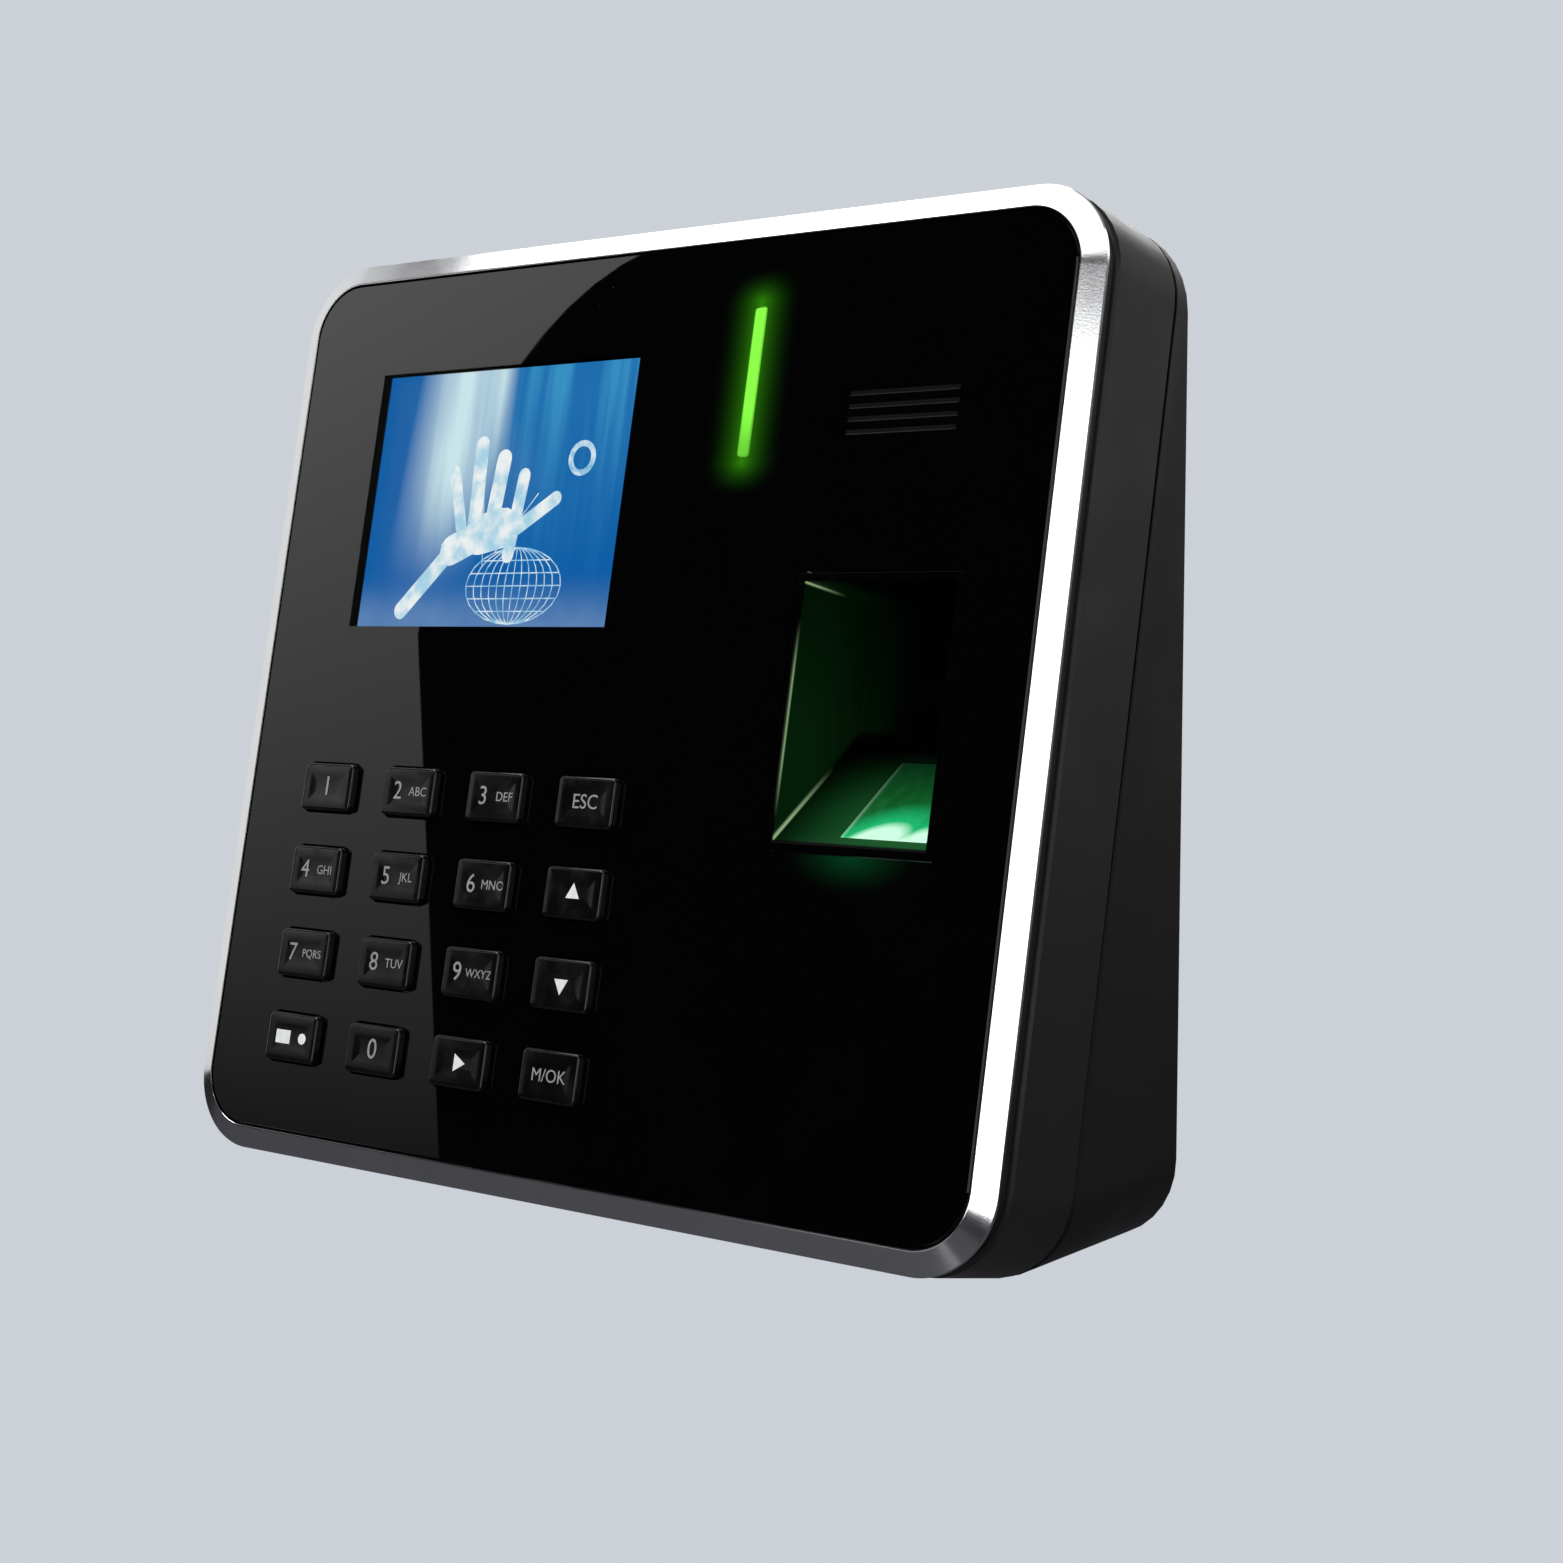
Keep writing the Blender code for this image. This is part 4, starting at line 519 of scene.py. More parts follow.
def skin(rings, closed=False):
    """A surface through equal rings of points, capped unless its ends meet."""
    made = bmesh.new()
    rows = [[made.verts.new(point) for point in ring] for ring in rings]
    pairs = list(zip(rows, rows[1:])) + ([(rows[-1], rows[0])] if closed else [])
    for first, second in pairs:
        for i, j in zip(range(len(first)), [*range(1, len(first)), 0]):
            made.faces.new((first[i], first[j], second[j], second[i]))
    if not closed:
        made.faces.new(rows[0])
        made.faces.new(rows[-1])
    bmesh.ops.recalc_face_normals(made, faces=made.faces)
    return made


def shaped(name, source, finish, place=ON_PANEL, smooth=35.0):
    """A piece from a bmesh drawn in the panel's frame."""
    bmesh.ops.transform(source, matrix=place, verts=source.verts)
    mesh = bpy.data.meshes.new(name)
    source.to_mesh(mesh)
    source.free()
    mesh.shade_smooth()
    mesh.set_sharp_from_angle(angle=math.radians(smooth))
    return add_object(name, mesh, finish)


plated = Finish("bright_plating", (0.80, 0.81, 0.83), 0.13, Metallic=1.0)
cloud = plated.noise(0.006, 3.0)
grain = plated.noise(0.0003, 2.0)
plated.set("Roughness", cloud * 0.07 + grain * 0.05 + 0.07)
plated.set("Base Color", plated.mix(cloud, (0.76, 0.77, 0.80), (0.86, 0.87, 0.88)))
plated.bump(grain, 0.000004)

half_x = (lens_high.x - lens_low.x) / 2
half_z = (lens_high.z - lens_low.z) / 2
rings = [outline(half_x + out, half_z + out, LENS_RADIUS + out, FRAME_STEPS, back)
         for out, back in BEZEL_FACE]
bezel = shaped("silver_bezel", skin(rings, closed=True), plated)
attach(bezel, "housing")
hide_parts("bezel_frame")

# ----------------------------------------
# Housing: two shells of black ABS. They come from spark-eroded tools, so the skin is a fine
# satin grain, and handling has polished the edges a little. The rear shell is coloured darker
# than the front as painted shade for its sides.

SHELL_EDGE = 0.00035
FRONT_ABS = (0.0190, 0.0190, 0.0195)
# Painted shade: the rear shell's darker colour stands in for the shade on its sides.
REAR_ABS_PAINTED_SHADE = (0.0042, 0.0042, 0.0045)


def moulded(name, colour, roughness, grain=0.00030, relief=0.000012):
    """Black plastic with an eroded grain, rubbed places and fine dust."""
    made = Finish(name, colour, roughness)
    eroded = made.noise(grain, 2.0)
    rubbed = made.noise(0.022, 4.0).step(0.40, 0.70)
    specks = made.noise(0.0006, 1.0).step(0.76, 0.82)
    lighter = tuple(channel * 1.9 + 0.002 for channel in colour)
    dusty = tuple(channel * 4.0 + 0.010 for channel in colour)
    tone = made.mix(rubbed * 0.55 + eroded * 0.25, colour, lighter)
    made.set("Base Color", made.mix(specks * 0.30, tone, dusty))
    made.set("Roughness", rubbed * -0.10 + eroded * 0.08 + specks * 0.2 + roughness)
    made.bump(eroded, relief)
    return made


for node, colour, roughness in (("front_cover", FRONT_ABS, 0.40), ("rear_cover", REAR_ABS_PAINTED_SHADE, 0.50)):
    shell = from_cad(node, node + "_shell", moulded(node + "_abs", colour, roughness), SHELL_EDGE, 2, 24.0)
    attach(shell, "housing")
    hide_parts(node)

# ----------------------------------------
# Keys: two-shot caps of gloss ABS that stand out of the lens on a silicone mat. Each has
# rounded edges, a shallow dish for the fingertip and a flange that holds it behind the lens.
# Legends are pad printed in off-white, and their ink carries a painted glow.

KEY_CAP_EDGE = 0.0009
KEY_INNER_EDGE = 0.00020
KEY_CORNER_STEPS = 5
KEY_DISH = 0.00016
DISH_STARTS = 0.0010
DISH_FLOOR = 0.0025
DISH_SLOPE = 0.6
KEY_SECTION = ((0.0030, 0.00002), (0.0020, 0.00001), (0.00055, 0.0), (0.00025, 0.00006), (0.00008, 0.00022),
               (0.0, 0.00048))
KEY_FLANGE_WIDE = 0.0008
KEY_FLANGE_THICK = 0.0008
LEGEND_LIFT = 0.00002
LEGEND_THICK = 0.00003
DIGIT_SIZE = 0.0042
KEY_LEGENDS = {"key_0": [("0", 0.0, 0.0046)], "key_1": [("1", 0.0, 0.0046)],
               "key_cancel": [("ESC", 0.0, 0.0032)], "key_ok": [("M/OK", 0.0, 0.0028)]}
for digit, digit_x, letters, letters_x, size in (
        ("2", -0.0024, "ABC", 0.0022, 0.0021), ("3", -0.0024, "DEF", 0.0022, 0.0021),
        ("4", -0.0024, "GHI", 0.0022, 0.0021), ("5", -0.0024, "JKL", 0.0022, 0.0021),
        ("6", -0.0024, "MNO", 0.0023, 0.0021), ("7", -0.0026, "PQRS", 0.0020, 0.0019),
        ("8", -0.0024, "TUV", 0.0022, 0.0021), ("9", -0.0028, "WXYZ", 0.0019, 0.0019)):
    KEY_LEGENDS["key_" + digit] = [(digit, digit_x, DIGIT_SIZE), (letters, letters_x, size)]
KEY_SIGNS = {"key_up": 90.0, "key_down": 270.0, "key_right": 0.0}
SIGN_RADIUS = 0.0016
MENU_DOT = (0.0026, 0.0009)
MENU_BAR = (-0.0020, 0.0017, 0.0011)

cap_gloss = Finish("key_gloss", (0.006, 0.006, 0.007), 0.16, Coat_Roughness=0.06, Specular_IOR_Level=0.32)
cap_rub = cap_gloss.noise(0.0035, 3.0).step(0.35, 0.75)
cap_grain = cap_gloss.noise(0.00025, 2.0)
cap_gloss.set("Roughness", cap_rub * 0.12 + cap_grain * 0.06 + 0.10)
cap_gloss.set("Coat Weight", cap_rub * -0.2 + 0.3)
cap_gloss.set("Base Color", cap_gloss.mix(cap_rub, (0.004, 0.004, 0.005), (0.010, 0.010, 0.011)))
cap_gloss.bump(cap_grain, 0.000004)


def printed(name, worn, fresh):
    """Pad-printed ink, thinner where fingers have rubbed it, with a painted glow in its emission."""
    made = Finish(name, fresh, 0.5, Emission_Strength=1.0)
    wear = made.noise(0.0009, 3.0)
    made.tones(wear, worn, fresh, 0.25, 0.38)
    # Painted glow: the ink's emission keeps the legends bright whatever light falls on them.
    made.set("Emission Color", made.mix(wear, tuple(tone ** 3 for tone in worn),
                                        tuple(tone ** 4 for tone in fresh)))
    return made


legend_ink_painted_glow = printed("legend_ink_painted_glow", (0.30, 0.31, 0.31), (0.52, 0.53, 0.52))
sign_ink_painted_glow = printed("sign_ink_painted_glow", (0.64, 0.65, 0.65), (0.82, 0.83, 0.82))


def lettering(text, size):
    """A word as a thin solid centred on the origin, facing forwards, as a bmesh."""
    curve = bpy.data.curves.new("lettering", "FONT")
    curve.body = text
    curve.size = size
    curve.resolution_u = 4
    curve.extrude = LEGEND_THICK / 2
    curve.align_x = "CENTER"
    curve.align_y = "CENTER"
    holder = bpy.data.objects.new("lettering", curve)
    bpy.context.scene.collection.objects.link(holder)
    bpy.context.view_layer.update()
    mesh = bpy.data.meshes.new_from_object(holder.evaluated_get(bpy.context.evaluated_depsgraph_get()))
    bpy.data.objects.remove(holder)
    bpy.data.curves.remove(curve)
    made = bmesh.new()
    made.from_mesh(mesh)
    bpy.data.meshes.remove(mesh)
    bmesh.ops.transform(made, matrix=Matrix.Rotation(math.pi / 2, 4, "X"), verts=made.verts)
    return made


def rectangle(half_x, half_z, x=0.0, z=0.0):
    """The four corners of a rectangle around a point."""
    return [(x + side_x * half_x, z + side_z * half_z)
            for side_x, side_z in ((-1, -1), (1, -1), (1, 1), (-1, 1))]


def round_corners(radius, count, start=0.0):
    """Corners spaced evenly around a circle, from a start in degrees."""
    turns = [math.radians(start + 360.0 * index / count) for index in range(count)]
    return [(radius * math.cos(turn), radius * math.sin(turn)) for turn in turns]


def flat_sign(corners, thick=LEGEND_THICK):
    """A flat shape of (across, height) corners with a little thickness, as a bmesh."""
    made = bmesh.new()
    front = [made.verts.new((x, -thick / 2, z)) for x, z in corners]
    back = [made.verts.new((x, thick / 2, z)) for x, z in corners]
    made.faces.new(front)
    made.faces.new(back[::-1])
    for i, j in zip(range(len(front)), [*range(1, len(front)), 0]):
        made.faces.new((front[j], front[i], back[i], back[j]))
    bmesh.ops.recalc_face_normals(made, faces=made.faces)
    return made


def gather(parts):
    """Several (bmesh, across, depth, height) in one."""
    whole = bmesh.new()
    for part, x, y, z in parts:
        bmesh.ops.translate(part, vec=(x, y, z), verts=part.verts)
        mesh = bpy.data.meshes.new("part")
        part.to_mesh(mesh)
        part.free()
        whole.from_mesh(mesh)
        bpy.data.meshes.remove(mesh)
    return whole


def key_cap(low, high, flange_wide, flange_front):
    """A cap from the middle of its dish, over the edge and down to the flange's back."""
    half_x = (high.x - low.x) / 2
    half_z = (high.z - low.z) / 2
    cap_x = half_x - flange_wide
    cap_z = half_z - flange_wide
    rings = []
    for inset, dip in KEY_SECTION:
        shrink = min(inset, cap_z * 0.9)
        dish = (KEY_DISH if inset > DISH_STARTS else 0.0) * (1 if inset > DISH_FLOOR else DISH_SLOPE)
        corner = max(KEY_CAP_EDGE - shrink * 0.8, KEY_INNER_EDGE)
        rings.append(outline(cap_x - shrink, cap_z - shrink, corner, KEY_CORNER_STEPS, low.y + dip + dish))
    for wide, tall, depth in ((cap_x, cap_z, flange_front), (half_x, half_z, flange_front),
                              (half_x, half_z, high.y)):
        rings.append(outline(wide, tall, KEY_CAP_EDGE, KEY_CORNER_STEPS, depth))
    return skin(rings)


for name in sorted(node for node in NODES if node.startswith("key_")):
    low, high = panel_box(name)
    centre = panel_centre(name)
    cap = key_cap(low, high, KEY_FLANGE_WIDE, high.y - KEY_FLANGE_THICK)
    bmesh.ops.translate(cap, vec=(centre.x, 0.0, centre.z), verts=cap.verts)
    key = shaped(name + "_cap", cap, cap_gloss, smooth=50.0)
    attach(key, name)
    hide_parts(name)
    face = low.y + KEY_DISH * DISH_SLOPE - LEGEND_LIFT
    signs = [(lettering(text, size), centre.x + along, face, centre.z)
             for text, along, size in KEY_LEGENDS.get(name, ())]
    if name in KEY_SIGNS:
        signs.append((flat_sign(round_corners(SIGN_RADIUS, 3, KEY_SIGNS[name])), centre.x, face, centre.z))
    if not signs:
        bar_x, bar_half_x, bar_half_z = MENU_BAR
        signs = [(flat_sign(rectangle(bar_half_x, bar_half_z)), centre.x + bar_x, face, centre.z),
                 (flat_sign(round_corners(MENU_DOT[1], 20)), centre.x + MENU_DOT[0], face, centre.z)]
    legend = shaped(name + "_legend", gather(signs), legend_ink_painted_glow if name in KEY_LEGENDS else sign_ink_painted_glow)
    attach(legend, name)

# ----------------------------------------
# Display: a colour LCD close behind the window, in its steel frame, with a flexible tail. The
# picture is a plain one: shafts of light, an open hand of round bars, a ring and a wire net.

PICTURE_DEPTH = 0.00195
PICTURE_STEP = 0.000004
LINE_HALF = 0.00010
DEEP_BLUE = (0.001, 0.115, 0.420)
PALE_BLUE = (0.045, 0.320, 0.620)
SHAFT_WHITE = (0.66, 0.88, 0.93)
MM = 0.001
HAND_BARS = ((-49.0, 15.5, -39.0, 25.5, 1.5), (-39.0, 25.5, -33.0, 28.0, 2.6),
             (-33.0, 28.0, -28.0, 29.0, 3.4), (-37.5, 29.5, -40.5, 38.5, 1.2),
             (-34.5, 31.0, -35.0, 43.0, 1.5), (-30.5, 31.0, -29.6, 40.5, 1.6),
             (-26.0, 24.5, -24.6, 37.5, 1.3), (-24.5, 29.0, -17.0, 33.6, 1.2))
HAND_LINES = ((-41.5, 26.5, -30.0, 31.5), (-36.0, 24.5, -36.0, 40.0), (-31.5, 23.0, -34.5, 44.0),
              (-29.0, 25.0, -21.0, 34.5), (-47.0, 18.5, -33.0, 30.0))
RING_X, RING_Z = -12.5, 40.0
RING_OUTSIDE, RING_INSIDE = 2.9, 1.9
RING_STEPS = 32
NET_X, NET_Z = -24.0, 13.2
NET_HALF_X, NET_HIGH = 10.5, 12.5
NET_LINES = 6
NET_STEPS = 12

screen = Finish("lcd_picture", (0.004, 0.006, 0.012), 0.25, Emission_Strength=1.0, Specular_IOR_Level=0.03)
across, depth, height = screen.on_panel()
right = (across - window_middle.x) / window_half_x
up = (height - window_middle.z) / window_half_z
streaks = screen.noise(0.0035, 2.0, screen.stretched(1.0, 0.06, 0.06)).step(0.40, 0.72)
haze = screen.noise(0.014, 3.0)
lit = up.step(-0.9, 1.1) * (streaks * 0.75 + 0.25) * right.step(-1.10, 0.60)
sky_blue = screen.mix(lit * 1.1 + haze * 0.05, DEEP_BLUE, PALE_BLUE)
beam = (1.0 - abs(right + 0.45 - up * 0.07) / 0.38).most(0.0) * up.step(-0.80, 0.55)
side_beam = (1.0 - abs(right + 0.08) / 0.12).most(0.0) * up.step(-0.20, 0.90)
burst = (1.0 - (((right + 0.18) / 0.55) ** 2.0 + ((up - 0.10) / 0.60) ** 2.0) ** 0.5).most(0.0)
foot = up.step(-0.55, -1.05) * haze * 0.8
glare = (beam * (streaks * 0.4 + 1.0) + side_beam * 0.70 + burst * 0.08 + foot * 0.42).bounded()
screen.set("Emission Color", screen.mix(glare, sky_blue, SHAFT_WHITE))
screen.set("Roughness", haze * 0.1 + 0.2)

glass = from_cad("lcd_glass", "lcd_panel", screen, 0.0001)
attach(glass, "housing")
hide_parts("lcd_glass")


def bar(x0, z0, x1, z1, radius, steps=8):
    """Corners of a straight bar with round ends, in metres on the panel."""
    lean = math.atan2(z1 - z0, x1 - x0)
    points = []
    for centre_x, centre_z, start in ((x1, z1, -0.5), (x0, z0, 0.5)):
        for step in range(steps + 1):
            angle = lean + math.pi * (start + step / steps)
            points.append((centre_x + radius * math.cos(angle), centre_z + radius * math.sin(angle)))
    return points


def drawn(name, shapes, finish, depth=PICTURE_DEPTH, thick=PICTURE_STEP, rise=0.0):
    """Thin flat shapes just in front of the display's glass, each one a rise above the last."""
    parts = [(flat_sign([(x * MM, z * MM) for x, z in shape], thick), 0.0, depth - index * rise, 0.0)
             for index, shape in enumerate(shapes)]
    made = shaped(name, gather(parts), finish)
    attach(made, "housing")


def glowing(name, dim, bright, grain):
    """A part of the picture whose light varies between two colours."""
    made = Finish(name, (0.01, 0.01, 0.01), 0.4, Emission_Strength=1.0, Specular_IOR_Level=0.03)
    cloud = made.noise(grain, 3.0).step(0.35, 0.65)
    made.set("Emission Color", made.mix(cloud, dim, bright))
    made.set("Roughness", cloud * 0.1 + 0.3)
    return made


hand_light = glowing("hand_light", (0.42, 0.72, 0.88), (0.95, 1.0, 1.0), 0.0035)
hand = [bar(*numbers) for numbers in HAND_BARS]
drawn("picture_hand", hand, hand_light, thick=PICTURE_STEP / 2, rise=PICTURE_STEP)
lines = []
for line in range(-NET_LINES, NET_LINES + 1):
    arc = []
    for step in range(NET_STEPS + 1):
        angle = math.pi * step / NET_STEPS
        arc.append((NET_X + NET_HALF_X * (line / NET_LINES) * math.sin(angle),
                    NET_Z + NET_HIGH * (0.5 - 0.5 * math.cos(angle))))
    lines += [(*first, *second) for first, second in zip(arc, arc[1:])]
for line in range(1, NET_LINES):
    level = NET_Z + NET_HIGH * line / NET_LINES
    reach = NET_HALF_X * math.sin(math.pi * line / NET_LINES) ** 0.5
    lines.append((NET_X - reach, level, NET_X + reach, level))
net = [bar(*ends, LINE_HALF / MM, 2) for ends in [*lines, *HAND_LINES]]
wire_light = glowing("wire_light", (0.25, 0.55, 0.80), (0.75, 0.92, 1.0), 0.002)
drawn("picture_net", net, wire_light, depth=PICTURE_DEPTH + PICTURE_STEP * 2)
ring = []
for step in range(RING_STEPS):
    first, second = (2 * math.pi * (step + offset) / RING_STEPS for offset in (0, 1))
    ring.append([(RING_X + radius * math.cos(angle), RING_Z + radius * math.sin(angle))
                 for angle, radius in ((first, RING_OUTSIDE), (second, RING_OUTSIDE),
                                       (second, RING_INSIDE), (first, RING_INSIDE))])
drawn("picture_ring", ring, wire_light)

# ----------------------------------------
# Status light: a bar of clear green-dyed acrylic that carries the light of one LED up to the
# face of the lens. It shines strongest at the top and dies away at its foot.

LIGHT_WIDE = 0.0022
LIGHT_GREEN = (0.245, 0.900, 0.055)

guide = Finish("light_bar", (0.05, 0.40, 0.02), 0.2, Emission_Strength=1.0)
across, depth, height = guide.on_panel()
along = (height - light_low.z) / (light_high.z - light_low.z)
mottle = guide.noise(0.0012, 2.0)
rim_dark = (abs(across - light.x) / (LIGHT_WIDE / 2)).step(0.65, 1.0)
shine = (along.step(0.0, 0.40) * 0.55 + 0.45) * (1.0 - rim_dark * 0.45) * (mottle * 0.2 + 0.9)
guide.set("Roughness", mottle * 0.1 + 0.15)
guide.set("Emission Color", guide.mix(shine, BLACK, LIGHT_GREEN))
light_bar = from_cad("light_guide", "status_light", guide, 0.00012)
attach(light_bar, "housing")
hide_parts("light_guide")

# ----------------------------------------
# Speaker: a small driver behind four slots, with a woven dust cloth glued across them.

CLOTH_DEPTH = 0.00196
CLOTH_THICK = 0.0001
CLOTH_PAD = 0.0012
CLOTH_HALF_Z = 0.0050
THREAD = 0.00032

weave = Finish("dust_cloth", (0.050, 0.056, 0.068), 0.85)
across, depth, height = weave.on_panel()
warp = (across * (2 * math.pi / THREAD)).math("SINE")
weft = (height * (2 * math.pi / THREAD)).math("SINE")
thread = warp * weft * 0.5 + 0.5
weave.tones(thread, (0.09, 0.095, 0.11), (0.30, 0.31, 0.34), 0.1, 0.8)
weave.bump(thread, 0.00004)
speaker_low, speaker_high = panel_box("speaker")
slots_middle = panel_centre("speaker")
cloth = flat_sign(rectangle((speaker_high.x - speaker_low.x) / 2 - CLOTH_PAD, CLOTH_HALF_Z,
                            slots_middle.x, slots_middle.z), CLOTH_THICK)
bmesh.ops.translate(cloth, vec=(0.0, CLOTH_DEPTH, 0.0), verts=cloth.verts)
cloth_piece = shaped("speaker_cloth", cloth, weave)
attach(cloth_piece, "housing")

# ----------------------------------------
# Finger pocket: a gloss black funnel whose floor slopes in to the glass platen. The platen is
# lit green from below. The bright lines along the edges of the funnel and the green tint of the
# near wall are painted highlights and painted glow in the funnel's emission.

POCKET_RIM = 0.0012
POCKET_EAR = 0.0038
RAMP_FOOT = 0.0012
# Painted highlights and painted glow of the platen's green light on the funnel.
PAINTED_LINE_SOFT = 0.00028
PAINTED_HIGHLIGHT_GREEN = (0.62, 0.95, 0.48)
PAINTED_GLOW_GREEN = (0.10, 1.0, 0.22)

funnel = Finish("finger_funnel", (0.0010, 0.0010, 0.0012), 0.30, Emission_Strength=1.0,
                Specular_IOR_Level=0.03)
across, depth, height = funnel.on_panel()
left_wall = pocket_low.x + POCKET_RIM
roof = pocket_high.z - POCKET_RIM - POCKET_EAR
floor_line = pocket_low.z + RAMP_FOOT
from_left = across - left_wall
from_roof = roof - height
from_ramp = (height - floor_line - depth) * math.sqrt(0.5)
near_left = 1.0 - abs(from_left).step(0.0, 0.0004)
inside = depth.step(0.0002, 0.0006) * from_left.step(-0.0006, -0.0001)
in_corner = near_left * inside
# Painted highlights: bright green lines along the rim, the roof and the ramp's edge.
painted_rim_highlight = (1.0 - abs(depth - 0.0003).step(0.0, PAINTED_LINE_SOFT * 1.4)) * height.step(-0.016, -0.006)
painted_rim_highlight = painted_rim_highlight * (1.0 - height.step(0.004, 0.014)) * near_left
painted_roof_highlight = (1.0 - from_roof.step(0.0, PAINTED_LINE_SOFT * 1.6)) * (1.0 - depth.step(0.001, 0.011)) * in_corner
painted_ramp_highlight = (1.0 - from_ramp.step(0.0, PAINTED_LINE_SOFT * 2.6)) * (1.0 - depth.step(0.002, 0.013)) * in_corner
from_platen = (height - floor_line) / (roof - floor_line)
side_fade = (1.0 - depth.step(0.004, 0.024) * 0.75) * (1.0 - from_left.step(0.0, 0.010))
# Painted glow: the platen's green light on the near wall and on the ramp.
painted_wall_glow = inside * side_fade * (1.0 - from_platen.step(0.35, 1.1) * 0.6) * from_ramp.step(0.0, 0.0012)
painted_ramp_glow = (1.0 - from_ramp.step(0.0004, 0.0012)) * across.step(left_wall - 0.004, pocket_high.x - 0.009)
painted_ramp_glow = painted_ramp_glow * (1.0 - depth.step(0.003, 0.0165)) * inside
# The painted highlights and the painted glow make up the funnel's emission.
lines = painted_rim_highlight * 0.34 + painted_roof_highlight * 0.42 + painted_ramp_highlight * 0.46
painted_glow = funnel.mix((painted_wall_glow * 0.0125 + painted_ramp_glow * 0.090).bounded(), BLACK, PAINTED_GLOW_GREEN)
funnel.set("Emission Color", funnel.mix(lines.bounded(), painted_glow, PAINTED_HIGHLIGHT_GREEN))
scuff = funnel.noise(0.004, 3.0).step(0.4, 0.7)
funnel.tones(scuff, (0.0008, 0.0008, 0.0009), (0.0016, 0.0016, 0.0018), 0.06, 0.24)
pocket = from_cad("finger_guide", "finger_pocket", funnel, 0.00025)
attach(pocket, "housing")
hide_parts("finger_guide")

PLATEN_DARK = (0.0005, 0.010, 0.003)
PLATEN_GREEN = (0.008, 0.200, 0.032)
SPOT_GREEN = (0.010, 0.520, 0.170)
SPOT_WHITE = (0.62, 1.0, 0.78)

platen_low, platen_high = panel_box("platen_prism")
platen = Finish("lit_platen", (0.004, 0.020, 0.008), 0.12, Emission_Strength=1.0, Specular_IOR_Level=0.25)
across, depth, height = platen.on_panel()
rise = (height - platen_low.z) / (platen_high.z - platen_low.z)
side = (across - platen_low.x) / (platen_high.x - platen_low.x)
print_mark = platen.noise(0.0016, 2.0, platen.stretched(1.0, 0.6, 0.6)).step(0.35, 0.7)
first_spot = (((side - 0.40) / 0.38) ** 2.0 + ((rise - side * 0.25 - 0.02) / 0.22) ** 2.0) ** 0.5
second_spot = (((side - 0.88) / 0.24) ** 2.0 + ((rise - side * 0.30 + 0.14) / 0.20) ** 2.0) ** 0.5
spots = ((1.0 - first_spot).most(0.0) * 3.2 + (1.0 - second_spot).most(0.0) * 2.6).bounded()
round_spots = (1.9 - first_spot.least(second_spot)).most(0.0).bounded()
edge_line = (1.0 - side.step(0.0, 0.07)) * 0.40 * (1.0 - rise)
body = (1.0 - rise.step(0.10, 1.15)) * (side * 0.3 + 0.7)
green = platen.mix(body * (print_mark * 0.2 + 0.8), PLATEN_DARK, PLATEN_GREEN)
green = platen.mix(round_spots, green, SPOT_GREEN)
platen.set("Emission Color", platen.mix((spots + edge_line).bounded(), green, SPOT_WHITE))
platen.set("Roughness", print_mark * 0.25 + 0.08)
prism = from_cad("platen_prism", "finger_platen", platen, 0.0002)
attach(prism, "housing")
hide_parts("platen_prism")

# ----------------------------------------
# Wall plate: pressed from zinc-plated steel sheet, with two slots for wall screws and hooks
# that the rear shell hangs on. It sits flat on the wall.

PLATE_EDGE = 0.00025
SPANGLES_PER_METRE = 420.0

zinc = Finish("zinc_plate", (0.42, 0.43, 0.44), 0.36, Metallic=1.0)
cells = zinc.node("ShaderNodeTexVoronoi", {"feature": "F1"},
                  {"Vector": zinc.place, "Scale": SPANGLES_PER_METRE})
spangle = Field(zinc, zinc.node("ShaderNodeSeparateColor", None, {0: cells.outputs["Color"]}).outputs[0])
stain = zinc.noise(0.020, 4.0).step(0.42, 0.72)
roll_marks = zinc.noise(0.0005, 2.0, zinc.stretched(1.0, 1.0, 0.03))
zinc.set("Base Color", zinc.mix(spangle * 0.3 + stain * 0.2, (0.52, 0.53, 0.55), (0.66, 0.66, 0.65)))
zinc.set("Roughness", stain * 0.06 + roll_marks * 0.10 + spangle * 0.08 + 0.30)
zinc.bump(roll_marks, 0.000006)
plate = from_cad("wall_plate", "steel_wall_plate", zinc, PLATE_EDGE)
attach(plate, "housing")
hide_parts("wall_plate")

# ----------------------------------------
# Screws: zinc-plated steel with pan heads, cross recesses and rolled threads. Those of the
# housing and the board lie along the panel's normal, and the locking screw comes from below.

SCREW_HEAD = 0.0028
HEAD_HEIGHT = 0.0018
CROWN = HEAD_HEIGHT * 0.15
CROWN_TOP = SCREW_HEAD * 0.72
RECESS = 0.0034
RECESS_SLOT = 0.0008
THREAD_START = 0.0020
THREAD_PITCH = 0.0008
THREAD_FREE = 0.003
SHANK = 0.0013
SQUARE = (0.0, 0.0, 0.0)


